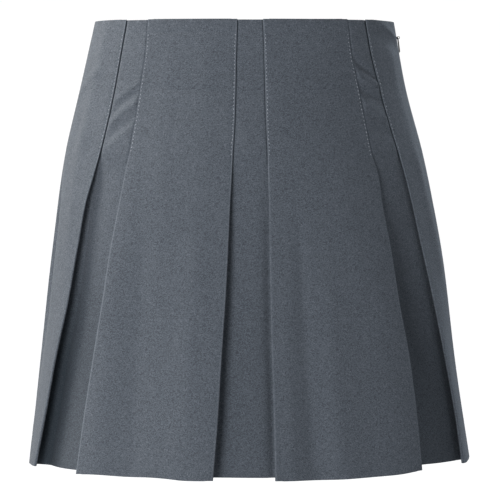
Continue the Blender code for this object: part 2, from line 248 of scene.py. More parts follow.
def linear(hex_colour: str) -> tuple[float, float, float, float]:
    """An sRGB hex colour as the linear colour that a shader takes."""
    parts = [int(hex_colour.lstrip("#")[i : i + 2], 16) / 255 for i in (0, 2, 4)]
    return (*[c / 12.92 if c <= 0.04045 else ((c + 0.055) / 1.055) ** 2.4 for c in parts], 1.0)


@dataclass
class WornForm:
    """The worn outline and the lines that the pleats and seams follow on it."""

    sections: tuple[Section, ...] = SECTIONS
    waves: tuple[Wave, ...] = WAVES
    lines: dict[str, Array] = field(default_factory=dict)

    def __post_init__(self) -> None:
        """Collects the lines of the front, the back and the seams."""
        self.lines = {name: np.array(row) for name, row in FRONT_LINES.items()}
        for name, row in BACK_LINES.items():
            self.lines[name + "_right"] = np.array(row)
            self.lines[name + "_left"] = 360.0 - np.array(row)
        for name, angle in SEAM_LINES.items():
            self.lines[name] = np.full(len(BACK_DROPS), angle)
        self.lines["side_left_round"] = self.lines["side_left"] + 360.0

    def column(self, drop: Array, name: str) -> Array:
        """A column of the sections' table at these drops."""
        stations = tuple(row.drop for row in self.sections)
        return smooth_through(stations, tuple(getattr(row, name) for row in self.sections), drop)

    def half_depth(self, angle: Array, drop: Array) -> Array:
        """The oval's half depth on the side, front or back, that the angle is on."""
        return np.where(np.cos(angle) >= 0, self.column(drop, "half_front"), self.column(drop, "half_back"))

    def swell(self, angle: Array, drop: Array) -> Array:
        """The large waves: a raised cosine across each, eased in and out down its length.

        Args:
            angle: radians round the outline.
            drop: how far below the waist.

        Returns:
            How far the cloth stands out there, in millimetres.
        """
        total = np.zeros(np.broadcast(angle, drop).shape)
        for wave in self.waves:
            off = (np.degrees(angle) - wave.angle + 180.0) % 360.0 - 180.0
            across = 0.5 + 0.5 * np.cos(math.pi * np.clip(off / wave.half_angle, -1.0, 1.0))
            rise = ease((drop - wave.start) / (wave.full - wave.start))
            fall = 1.0 - ease((drop - wave.full) / (wave.fade - wave.full))
            total = total + wave.swell * across * rise * fall
        return total

    def point(self, angle: Array, drop: Array, depth: Array) -> Array:
        """Points this deep inside the outline, in metres.

        x is the half width times the angle's sine, y the half depth times its cosine, both moved in along
        the oval's normal by the depth, less the swell of the waves; z is the drop, with the waist's trim.

        Args:
            angle: radians round the outline.
            drop: how far below the waist.
            depth: how deep inside the outline.

        Returns:
            The points, with x, y and z along the last axis.
        """
        a, b = self.column(drop, "half_width"), self.half_depth(angle, drop)
        out_x, out_y = np.sin(angle) / a, -np.cos(angle) / b
        size = np.hypot(out_x, out_y)
        off = self.swell(angle, drop) - depth
        x = self.column(drop, "drift") + a * np.sin(angle) + off * out_x / size
        y = -b * np.cos(angle) + off * out_y / size
        z = -drop + self.trim(WAIST_ANGLES, WAIST_TRIM, angle) * np.clip(1.0 - drop / WAIST_FADE, 0.0, 1.0)
        return np.stack(np.broadcast_arrays(x, y, z), axis=-1) * MM

    def per_turn(self, angle: Array, drop: Array) -> Array:
        """Millimetres along the outline for a radian of angle."""
        a, b = self.column(drop, "half_width"), self.half_depth(angle, drop)
        return np.hypot(a * np.cos(angle), b * np.sin(angle))

    def line(self, name: str, drop: Array) -> Array:
        """Where a named line runs.

        Args:
            name: the line's name.
            drop: how far below the waist.

        Returns:
            The line's angles there, in radians.
        """
        row = self.lines[name]
        stations = FRONT_DROPS if len(row) == len(FRONT_DROPS) else BACK_DROPS
        return np.radians(smooth_through(stations, row, drop))

    def hem(self, angle: Array) -> Array:
        """How far below the waist the panels' hem hangs: a mean, a front share, a side share and the trim."""
        trim = self.trim(HEM_ANGLES, HEM_TRIM, angle)
        return HEM_MEAN + HEM_FRONT * np.cos(angle) - HEM_LEFT * np.sin(angle) + trim

    def trim(self, angles: tuple[float, ...], heights: tuple[float, ...], angle: Array) -> Array:
        """A table of heights round the outline, read at these angles in radians."""
        return smooth_through(angles, heights, (np.degrees(angle) + 180.0) % 360.0 - 180.0)


FORM = WornForm()

PLEAT_DROPS = (0.0, 112.0, 122.0, 140.0, 165.0, 200.0, 260.0, 330.0, 400.0)


@dataclass(frozen=True)
class Pleat:
    """How a fold opens below its release: its sizes, in millimetres, at the pleats' drops."""

    mouth: tuple[float, ...]  # room between the fold and the strip behind it
    roll: tuple[float, ...]  # radius of the fold, to the middle of the cloth
    lift: tuple[float, ...]  # how far the fold stands out from the outline
    fall: float = 16.0  # how far from the fold its panel has fallen back to the outline
    follow: float = 0.0  # the share of the lift that the strip behind the fold stands out with

    def at(self, size: str, drop: Array) -> Array:
        """One of the sizes at these drops."""
        return np.clip(smooth_through(PLEAT_DROPS, getattr(self, size), drop), 0.0, None)

    def behind(self, drop: Array) -> Array:
        """Depth of the strip beside the fold, to the middle of the cloth."""
        out = self.follow * self.at("lift", drop)
        return CLOTH / 2 + 2 * self.at("roll", drop) + self.at("mouth", drop) - out

    def tucked(self, drop: Array) -> Array:
        """Depth of the fold's return, which lies flat under its panel, to the middle of the cloth."""
        return CLOTH / 2 + 2 * self.at("roll", drop) - self.at("lift", drop)


PLEATS = {
    "side_right": Pleat(
        (0.0, 0.0, 0.3, 0.8, 1.2, 1.6, 2.2, 2.8, 3.2),
        (0.28, 0.28, 0.3, 0.4, 0.5, 0.6, 0.75, 0.9, 1.0),
        (0.0, 0.0, 0.2, 0.8, 1.3, 1.8, 2.2, 2.4, 2.4),
    ),
    "side": Pleat(
        (0.0, 0.0, 1.1, 3.8, 6.2, 7.8, 9.4, 10.4, 11.0),
        (0.28, 0.28, 0.3, 0.4, 0.5, 0.6, 0.75, 0.9, 1.0),
        (0.0, 0.0, 0.2, 0.8, 1.3, 1.8, 2.2, 2.4, 2.4),
    ),
    "outer_right": Pleat(
        (0.0, 0.0, 0.3, 1.0, 1.9, 3.0, 4.8, 6.2, 7.0),
        (0.28, 0.28, 0.3, 0.35, 0.4, 0.5, 0.6, 0.7, 0.8),
        (0.0, 0.0, 0.2, 1.0, 2.4, 4.0, 6.0, 7.2, 7.6),
        46.0,
        0.3,
    ),
    "outer": Pleat(
        (0.0, 0.0, 0.4, 1.4, 2.8, 4.6, 7.2, 9.6, 11.0),
        (0.28, 0.28, 0.3, 0.35, 0.4, 0.5, 0.6, 0.7, 0.8),
        (0.0, 0.0, 0.2, 0.8, 1.8, 3.0, 4.4, 5.2, 5.6),
        38.0,
    ),
    "inner": Pleat(
        (0.0, 0.0, 0.8, 2.6, 4.6, 6.8, 9.4, 11.0, 11.8),
        (0.28, 0.28, 0.3, 0.35, 0.4, 0.5, 0.6, 0.7, 0.8),
        (0.0, 0.0, 0.0, 0.2, 0.5, 0.8, 1.1, 1.3, 1.4),
    ),
}


# How far beside each kind of stitched fold the strip starts to come forward: a wider gap is a darker line.
GROOVES = {"side": 0.8, "outer_left": 0.05, "inner_left": 0.7, "inner_right": 0.1, "outer_right": 0.3}
GROOVE = 0.16
# Painted shade and painted highlight: how dark the crack beside each stitched fold is painted, and how light
# the fold's crest.
CRACKS = {"side": 0.95, "outer_left": 0.1, "inner_left": 0.9, "inner_right": 0.25, "outer_right": 0.5}
CRACK = 0.5
CRESTS = {"side": 0.22, "outer_left": 0.2, "inner_left": 0.25, "inner_right": 0.32, "outer_right": 0.08}
CREST = 0.2
LOW_CRESTS = {"side": 0.1, "outer_left": 0.34, "inner_left": 0.12, "inner_right": 0.14, "outer_right": 0.05}
LOW_CREST = 0.1
CREST_RUN = 60.0  # the run below the release over which a crest's painted highlight changes

# Widths and runs on a panel's face, in millimetres.
PULL = 0.16  # how far the stitches pull it in
PULL_SWAY = 0.05  # how much that varies along each stitch
PULL_WIDTH = 0.9
PULL_IN = 8.0  # it eases in over this, about the first stitch
PULL_PAST = 2.0  # it starts to ease out this far below the release
PULL_OUT = 10.0  # and has eased out over this
CLEAR_START = 0.5  # creases start this far from an edge
CLEAR_RUN = 7.0
RIPPLE_RUN = 60.0  # ripples ease in over this much below the waist
HEM_LINE = 0.16  # how far the blind hem's stitches pull the face in
HEM_LINE_WIDTH = 1.1
WAIST_LINE = 0.14  # how far it lies in at the waist turn's edge
WAIST_LINE_WIDTH = 1.0
# The same on a strip.
STRIP_SKEW = 1.8  # a strip's depth goes over to its last fold's by this power
STRIP_RIPPLE = 0.6  # the share of a panel's ripples that it has
STRIP_CLEAR = 4.0
GROOVE_WIDTH = 0.8  # it comes forward beside a stitched fold within this
GROOVE_POWER = 1.3
HELD_START = 8.0  # how far above the release it starts to be let go
HELD_RUN = 24.0  # the run over which it is
OPEN_RUN = 120.0  # the run below the release over which it opens
DIP_WIDTH = 4.5
CRACK_WIDTH = 0.9
SHADE_START = 170.0  # the drop where its painted shade begins
SHADE_RUN = 150.0
SHADE_NEAR = 4.0
SHADE_WIDTH = 18.0  # how far out from the first fold the deeper painted shade goes


def named(line: str, table: dict[str, float], usual: float) -> float:
    """The table's value for the first of its names that the line's name has, or the usual one."""
    return next((value for name, value in table.items() if name in line), usual)


def pleat_of(line: str) -> Pleat:
    """The pleat that a line's name belongs to."""
    return next(pleat for name, pleat in PLEATS.items() if name in line)


def lie_of(line: str) -> Lie:
    """How the edge of a piece along this line is made."""
    return Lie.SEAM if line.startswith("seam") else Lie.FOLD


def beside_lug(drop: Array) -> Array:
    """The share, 0 to 1, by which the seam stands open for the slider's lug at these drops."""
    return ease((drop - LUG_START) / LUG_OPENING) * (1.0 - ease((drop - LUG_END) / LUG_CLOSING))


def reach(drop: Array) -> Array:
    """How far a pleat's return runs back under its panel."""
    return REACH_TOP + (REACH_HEM - REACH_TOP) * drop / HEM_MEAN


def fold_lift(line: str, off: Array, drop: Array) -> Array:
    """How far a fold's panel stands out this far from the fold: level at first, then a bell's fall."""
    pleat = pleat_of(line)
    return pleat.at("lift", drop) * np.exp(-((np.clip(off - LIFT_FLAT, 0.0, None) / pleat.fall) ** 2))


def crease_relief(creases: tuple[Crease, ...], angle: Array, drop: Array) -> Array:
    """Height of the creases at these points of the outline, in millimetres.

    Each is a bell across its line, and falls off as a bell 1.6 times as wide beyond the line's two ends.

    Args:
        creases: the lines, with their widths and heights.
        angle: radians round the outline.
        drop: how far below the waist.

    Returns:
        The heights added up, above 0 where the cloth stands out.
    """
    total = np.zeros(np.broadcast(angle, drop).shape)
    for crease in creases:
        (a0, d0), (a1, d1) = crease.start, crease.end
        middle, level = math.radians((a0 + a1) / 2), (d0 + d1) / 2
        scale = float(FORM.per_turn(np.array(middle), np.array(level)))
        run, fall = math.radians(a1 - a0) * scale, d1 - d0
        length = math.hypot(run, fall)
        turned = (angle - middle + math.pi) % (2 * math.pi) - math.pi
        dx, dy = turned * scale, drop - level
        along = (dx * run + dy * fall) / length
        across = (dx * fall - dy * run) / length
        across = across - crease.bow * np.clip(1.0 - (2 * along / length) ** 2, 0.0, 1.0)
        beyond = np.clip(np.abs(along) - length / 2, 0.0, None) / (CREASE_END * crease.width)
        total = total + crease.height * np.exp(-((across / crease.width) ** 2 + beyond**2))
    return total


def ripple(angle: Array, drop: Array, seed: int) -> Array:
    """A faint unevenness of hung cloth: a few long sine waves, each set by the seed.

    Args:
        angle: radians round the outline.
        drop: how far below the waist.
        seed: what the waves' directions and phases are drawn from.

    Returns:
        How far the cloth stands out there, in millimetres.
    """
    draw = np.random.default_rng(seed)
    total = np.zeros(np.broadcast(angle, drop).shape)
    for height in (0.28, 0.2, 0.14, 0.09):
        across = draw.uniform(2.0, 9.0) * (1 if draw.random() < 0.5 else -1)
        down = draw.uniform(0.006, 0.03)
        total = total + height * np.sin(across * angle + down * drop + draw.uniform(0, 2 * math.pi))
    return total


def ring_shares() -> Array:
    """Where a piece's rings lie: evenly, and closer at the waist turn and round the hem turn.

    Returns:
        Shares of the piece's length, from 0 at its top edge to 1 at its hem.
    """
    even = np.linspace(0.0, 1.0, RING_COUNT)
    near = np.array([0.4, 0.9, 1.6, WAIST_TURN - 0.8, WAIST_TURN, WAIST_TURN + 0.8]) / HEM_MEAN
    low = 1.0 - np.array([0.4, 0.9, 1.6, HEM_TURN - 0.7, HEM_TURN, HEM_TURN + 0.7]) / HEM_MEAN
    return np.unique(np.round(np.concatenate([even, near, low]), 6))


def mesh_object(name: str, points: Array, quads: Array, triangles: Array | None = None) -> bpy.types.Object:
    """A mesh object from arrays.

    Args:
        name: the piece's name.
        points: (n, 3) places in metres.
        quads: (k, 4) corners.
        triangles: (m, 3) corners, if there are any.

    Returns:
        The object, at the origin, with smooth shading.
    """
    faces = quads.tolist() + ([] if triangles is None else triangles.tolist())
    mesh = bpy.data.meshes.new(name)
    mesh.from_pydata(points.tolist(), [], faces)
    mesh.validate()
    mesh.shade_smooth()
    made = bpy.data.objects.new(name, mesh)
    bpy.context.scene.collection.objects.link(made)
    return made


def fill(tree: bpy.types.NodeTree, node: bpy.types.Node, inputs: dict) -> None:
    """Fills a node's inputs.

    Args:
        tree: the material's nodes.
        node: the node.
        inputs: socket name or number to a value, or to another node's output, which is linked.
    """
    for key, value in inputs.items():
        if isinstance(value, bpy.types.NodeSocket):
            tree.links.new(value, node.inputs[key])
        else:
            node.inputs[key].default_value = value


def add_node(tree: bpy.types.NodeTree, kind: str, inputs: dict | None = None, **settings) -> bpy.types.Node:
    """Adds a node with its settings and inputs.

    Args:
        tree: the material's nodes.
        kind: the node's type.
        inputs: as fill takes them.
        settings: the node's own properties.

    Returns:
        The node.
    """
    node = tree.nodes.new(kind)
    for key, value in settings.items():
        setattr(node, key, value)
    fill(tree, node, inputs or {})
    return node


def new_material(name: str) -> tuple[bpy.types.Material, bpy.types.NodeTree, bpy.types.Node]:
    """A new material with its nodes.

    Args:
        name: the material's name.

    Returns:
        The material, its nodes and its shader.
    """
    made = bpy.data.materials.new(name)
    made.use_nodes = True
    return made, made.node_tree, made.node_tree.nodes["Principled BSDF"]


# The wave texture's scale for bands a metre apart, straight along an axis or on the diagonal.
STRAIGHT_BANDS = 2 * math.pi / 20
DIAGONAL_BANDS = 2 * math.pi / 10


@dataclass(frozen=True)
class Suiting:
    """Worsted suiting, woven of dyed and grey fibres: a matt face with a fine melange and a faint nap."""

    name: str = "worsted_suiting"
    fibre_dark: str = "#33383f"
    fibre_light: str = "#5d636b"
    painted_highlight_colour: str = "#6b727b"  # a painted highlight on the crest of a pressed fold
    painted_shade_colour: str = "#0a161d"  # painted shade in the crack beside a stitched fold, finer than a pixel, and low down in the strips
    nap: str = "#c9ced6"
    thread_mm: float = 0.43  # real threads are finer than the render can show, so they are drawn coarser
    floats: tuple[tuple[float, float], ...] = ((2.1, 1.0), (1.0, 1.3))  # how long and wide, in threads
    wander_per_m: float = 160.0  # the threads wander about each 6 mm
    wander_m: float = 0.004
    patch_per_m: float = 28.0  # the dye is uneven in soft patches of about 36 mm
    patch_tone: float = 0.14
    fleck_power: float = 1.4  # above 1, so that the lighter fibres are the fewer
    bump_mm: float = 0.12
    roughness: float = 0.88

    def material(self) -> bpy.types.Material:
        """The finish: warp and weft threads of uneven tone, their relief, sheen for the nap, and a painted
        highlight and painted shade.

        Returns:
            The material, for a piece with a UV map in metres and the attributes of its painted highlight and
            painted shade.
        """
        made, tree, shader = new_material(self.name)
        cloth = add_node(tree, "ShaderNodeUVMap", uv_map="cloth").outputs["UV"]
        uneven = {"Vector": cloth, "Scale": self.wander_per_m, "Detail": 1.0}
        wander = {0: add_node(tree, "ShaderNodeTexNoise", uneven).outputs["Color"], "Scale": self.wander_m}
        sway = add_node(tree, "ShaderNodeVectorMath", wander, operation="SCALE").outputs[0]
        place = add_node(tree, "ShaderNodeVectorMath", {0: cloth, 1: sway}, operation="ADD").outputs[0]
        threads = []
        for length, width in self.floats:
            cell = {0: place, 1: (length * self.thread_mm * MM, width * self.thread_mm * MM, 1.0)}
            spot = add_node(tree, "ShaderNodeVectorMath", cell, operation="SNAP").outputs[0]
            toned = add_node(tree, "ShaderNodeTexWhiteNoise", {"Vector": spot}, noise_dimensions="3D")
            threads.append(toned.outputs["Value"])
        woven = add_node(tree, "ShaderNodeMath", {0: threads[0], 1: threads[1]}, operation="ADD").outputs[0]
        grain = add_node(tree, "ShaderNodeMath", {0: woven, 1: 0.5}, operation="MULTIPLY").outputs[0]
        skewed = {0: grain, 1: self.fleck_power}
        flecks = add_node(tree, "ShaderNodeMath", skewed, operation="POWER").outputs[0]
        soft = {"Vector": cloth, "Scale": self.patch_per_m, "Detail": 2.0}
        patch = {0: add_node(tree, "ShaderNodeTexNoise", soft).outputs["Fac"]}
        patch.update({1: self.patch_tone, 2: -self.patch_tone / 2})
        tone = add_node(tree, "ShaderNodeMath", patch, operation="MULTIPLY_ADD").outputs[0]
        mix = {"Factor": add_node(tree, "ShaderNodeMath", {0: flecks, 1: tone}, operation="ADD").outputs[0]}
        mix.update({"A": linear(self.fibre_dark), "B": linear(self.fibre_light)})
        colour = add_node(tree, "ShaderNodeMix", mix, data_type="RGBA")
        # Mixes in the painted highlight on fold crests, then the painted shade in cracks and low in the
        # strips.
        for name, shade in (("painted_highlight", self.painted_highlight_colour), ("tucked", self.painted_shade_colour)):
            share = add_node(tree, "ShaderNodeAttribute", attribute_name=name).outputs["Fac"]
            edge = {"Factor": share, "A": colour.outputs["Result"], "B": linear(shade)}
            colour = add_node(tree, "ShaderNodeMix", edge, data_type="RGBA")
        relief = {"Strength": 0.6, "Distance": self.bump_mm * MM, "Height": woven}
        normal = add_node(tree, "ShaderNodeBump", relief).outputs[0]
        fill(tree, shader, {"Base Color": colour.outputs["Result"], "Normal": normal})
        fill(tree, shader, {"Roughness": self.roughness, "Specular IOR Level": 0.16})
        fill(tree, shader, {"Sheen Weight": 0.065, "Sheen Roughness": 0.45, "Sheen Tint": linear(self.nap)})
        return made


@dataclass(frozen=True)
class Thread:
    """Twisted polyester sewing thread: a shade lighter than the cloth, with a slight gloss."""

    name: str = "polyester_thread"
    dark: str = "#7d838b"
    light: str = "#9aa0a8"
    band_mm: float = 6.283  # the real twist, 0.5 mm long, is too fine to show, so it is drawn coarser
    bump_mm: float = 0.05
    roughness: float = 0.5

    def material(self) -> bpy.types.Material:
        """The finish: diagonal bands in tone and relief.

        Returns:
            The material.
        """
        made, tree, shader = new_material(self.name)
        where = add_node(tree, "ShaderNodeTexCoord").outputs["Object"]
        bands = {"Vector": where, "Scale": DIAGONAL_BANDS / (self.band_mm * MM), "Distortion": 1.5}
        twist = add_node(tree, "ShaderNodeTexWave", bands, bands_direction="DIAGONAL").outputs["Fac"]
        tones = {"Factor": twist, "A": linear(self.dark), "B": linear(self.light)}
        colour = add_node(tree, "ShaderNodeMix", tones, data_type="RGBA").outputs["Result"]
        relief = {"Strength": 0.4, "Distance": self.bump_mm * MM, "Height": twist}
        normal = add_node(tree, "ShaderNodeBump", relief).outputs[0]
        fill(tree, shader, {"Base Color": colour, "Normal": normal, "Roughness": self.roughness})
        return made


@dataclass(frozen=True)
class ZipTapeWeave:
    """Woven polyester zip tape: a dark ribbed band, duller than the suiting."""

    name: str = "woven_polyester_tape"
    dark: str = "#2a2e34"
    light: str = "#33373e"
    rib_mm: float = 5.027  # real ribs, 0.8 mm apart, are too fine to show, so they are drawn coarser
    bump_mm: float = 0.08
    roughness: float = 0.75

    def material(self) -> bpy.types.Material:
        """The finish: ribs across the tape in relief and a little tone.

        Returns:
            The material.
        """
        made, tree, shader = new_material(self.name)
        where = add_node(tree, "ShaderNodeTexCoord").outputs["Object"]
        ribs = {"Vector": where, "Scale": STRAIGHT_BANDS / (self.rib_mm * MM), "Distortion": 0.4}
        rib = add_node(tree, "ShaderNodeTexWave", ribs, bands_direction="Z").outputs["Fac"]
        tones = {"Factor": rib, "A": linear(self.dark), "B": linear(self.light)}
        colour = add_node(tree, "ShaderNodeMix", tones, data_type="RGBA").outputs["Result"]
        relief = {"Strength": 0.5, "Distance": self.bump_mm * MM, "Height": rib}
        normal = add_node(tree, "ShaderNodeBump", relief).outputs[0]
        fill(tree, shader, {"Base Color": colour, "Normal": normal, "Roughness": self.roughness})
        return made


@dataclass(frozen=True)
class Enamel:
    """Baked enamel on a zinc casting: a smooth, dark and satin coat."""

    name: str = "zip_enamel"
    dark: str = "#1c1f23"
    light: str = "#2b2f35"
    mottle_per_m: float = 900.0  # the mottling's spots are about a millimetre wide
    gloss: tuple[float, float] = (0.45, 0.6)
    metallic: float = 0.1

    def material(self) -> bpy.types.Material:
        """The finish: an even coat with faint mottling in tone and gloss.

        Returns:
            The material.
        """
        made, tree, shader = new_material(self.name)
        where = add_node(tree, "ShaderNodeTexCoord").outputs["Object"]
        spots = {"Vector": where, "Scale": self.mottle_per_m, "Detail": 3.0}
        mottle = add_node(tree, "ShaderNodeTexNoise", spots).outputs["Fac"]
        tones = {"Factor": mottle, "A": linear(self.dark), "B": linear(self.light)}
        colour = add_node(tree, "ShaderNodeMix", tones, data_type="RGBA").outputs["Result"]
        spread = {"Value": mottle, "To Min": self.gloss[0], "To Max": self.gloss[1]}
        rough = add_node(tree, "ShaderNodeMapRange", spread).outputs[0]
        fill(tree, shader, {"Base Color": colour, "Roughness": rough, "Metallic": self.metallic})
        return made


@dataclass
class ClothShell:
    """A thin closed shell about a grid of points on the middle of the cloth."""

    name: str
    middle: Array  # (across, down, 3), metres
    doubled: Array  # (across, down), how much of a second layer lies inside, 0 to 1
    tone: Array | None = None  # (across, down): a painted highlight above 0, on a pressed crest; painted shade below 0, in a crack and low in a strip

    def build(self) -> bpy.types.Object:
        """The shell: both faces stand off the middle along its normal, and the edges are rounded.

        The normal is the cross product of the grid's two slopes. A ring goes down the outer face, round the
        hem by a half circle, up the inner face and round the waist edge; the two ends are capped.

        Returns:
            The shell, with its UV map and its tones.
        """
        across = np.gradient(self.middle, axis=0)
        down = np.gradient(self.middle, axis=1)
        normal = np.cross(down, across)
        normal /= np.linalg.norm(normal, axis=-1, keepdims=True)
        down /= np.linalg.norm(down, axis=-1, keepdims=True)
        half = CLOTH / 2 * MM
        outer = self.middle + normal * half
        inner = self.middle - normal * (half + self.doubled[..., None] * CLOTH * MM)
        low = self.rim(outer[:, -1], inner[:, -1], down[:, -1])
        top = self.rim(inner[:, 0], outer[:, 0], -down[:, 0])
        ring = np.concatenate([outer, low, inner[:, ::-1], top], axis=1)
        columns, around = ring.shape[:2]
        corner = (np.arange(columns - 1) * around)[:, None] + np.arange(around)
        after = (np.arange(columns - 1) * around)[:, None] + (np.arange(around) + 1) % around
        quads = np.stack([corner, corner + around, after + around, after], axis=-1).reshape(-1, 4)
        cap_quads, cap_triangles = self.caps(columns, around)
        made = mesh_object(self.name, ring.reshape(-1, 3), np.concatenate([quads, cap_quads]), cap_triangles)
        self.lay_out(made, ring)
        return made

    def rim(self, first: Array, last: Array, way: Array) -> Array:
        """Three points of a half circle from one face's edge to the other's.

        Args:
            first: (columns, 3) edge of the one face.
            last: (columns, 3) edge of the other.
            way: (columns, 3) directions in which the half circle bulges.

        Returns:
            The points, (columns, 3, 3).
        """
        centre, arm = (first + last) / 2, (first - last) / 2
        radius = np.linalg.norm(arm, axis=-1, keepdims=True)
        turns = np.radians([45.0, 90.0, 135.0])
        points = [centre + arm * math.cos(turn) + way * radius * math.sin(turn) for turn in turns]
        return np.stack(points, axis=1)

    def caps(self, columns: int, around: int) -> tuple[Array, Array]:
        """The two ends of the shell, each a strip of quads between opposite points of its ring.

        A ring holds the outer face's rows, three points of the hem's half circle, the inner face's rows and
        three points of the waist's. The middle one of each three closes the strip with a triangle.

        Args:
            columns: how many rings there are.
            around: how many points each has.

        Returns:
            The quads and the triangles.
        """
        rows = (around - 6) // 2
        up = np.concatenate([[rows], np.arange(rows)[::-1], [around - 1]])
        back = np.concatenate([[rows + 2], np.arange(rows + 3, 2 * rows + 3), [around - 3]])
        first = np.stack([up[:-1], up[1:], back[1:], back[:-1]], axis=-1)
        ends = np.array([[up[0], back[0], rows + 1], [back[-1], up[-1], around - 2]])
        shift = (columns - 1) * around
        quads = np.concatenate([first, first[:, ::-1] + shift])
        triangles = np.concatenate([ends, ends[:, ::-1] + shift])
        return quads, triangles

    def lay_out(self, made: bpy.types.Object, ring: Array) -> None:
        """A UV map in metres of cloth, from the middle column and from the top, and the tones of painted
        highlight and painted shade as attributes.

        Args:
            made: the shell.
            ring: (columns, around, 3) its points.
        """
        step_across = np.linalg.norm(np.diff(self.middle, axis=0), axis=-1)
        across = np.concatenate([np.zeros((1, step_across.shape[1])), np.cumsum(step_across, axis=0)])
        across = across - across[across.shape[0] // 2]
        step_down = np.linalg.norm(np.diff(self.middle, axis=1), axis=-1)
        down = np.concatenate([np.zeros((step_down.shape[0], 1)), np.cumsum(step_down, axis=1)], axis=1)
        flat = np.stack([across, -down], axis=-1)
        low, top = np.repeat(flat[:, -1:], 3, axis=1), np.repeat(flat[:, :1], 3, axis=1)
        per_point = np.concatenate([flat, low, flat[:, ::-1], top], axis=1).reshape(-1, 2)
        mesh = made.data
        loops = np.empty(len(mesh.loops), dtype=np.int32)
        mesh.loops.foreach_get("vertex_index", loops)
        layer = mesh.uv_layers.new(name="cloth")
        layer.data.foreach_set("uv", per_point[loops].astype(np.float32).ravel())
        if self.tone is not None:
            # The painted highlight and the painted shade each go to an attribute of their own.
            for name, sign in (("painted_highlight", 1.0), ("tucked", -1.0)):
                share = np.zeros(ring.shape[:2])
                share[:, : self.tone.shape[1]] = np.clip(sign * self.tone, 0.0, 1.0)
                kept = mesh.attributes.new(name, "FLOAT", "POINT")
                kept.data.foreach_set("value", share.astype(np.float32).ravel())


@dataclass
class ClothPiece:
    """A piece of the skirt that shows as cloth, between two lines of the form."""

    node: str
    first: str
    last: str
    creases: tuple[Crease, ...] = ()
    seed: int = 1

    def __post_init__(self) -> None:
        """The rings that every piece has."""
        self.rings = ring_shares()

    def surface(self) -> tuple[Array, Array, Array]:
        """The middle of the cloth, where it is doubled and its tone, which each kind of piece works out."""
        raise NotImplementedError

    def middle_angle(self) -> Array:
        """The angle midway between the piece's two lines, at the thigh."""
        level = np.array(THIGH_LEVEL)
        return (FORM.line(self.first, level) + FORM.line(self.last, level)) / 2

    def hem_groove(self, drop: Array, hem: Array) -> Array:
        """The blind hem's faint line and the edge of the waist turn, as shallow bells in the outer face.

        Args:
            drop: how far below the waist.
            hem: the hem's drop there.

        Returns:
            How far the face is pulled in, in millimetres.
        """
        hem_line = HEM_LINE * np.exp(-((hem - drop - HEM_TURN) / HEM_LINE_WIDTH) ** 2)
        waist_line = WAIST_LINE * np.exp(-((drop - WAIST_TURN) / WAIST_LINE_WIDTH) ** 2)
        return hem_line + waist_line

    def build(self, finish: bpy.types.Material) -> bpy.types.Object:
        """The piece: its shell with its cloth, its body and its flat cut.

        Args:
            finish: the cloth.

        Returns:
            The piece.
        """
        shell = ClothShell(self.node + "_cloth", *self.surface())
        made = shell.build()
        made.data.materials.append(finish)
        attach(made, SKIRT_BODY)
        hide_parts(self.node)
        return made


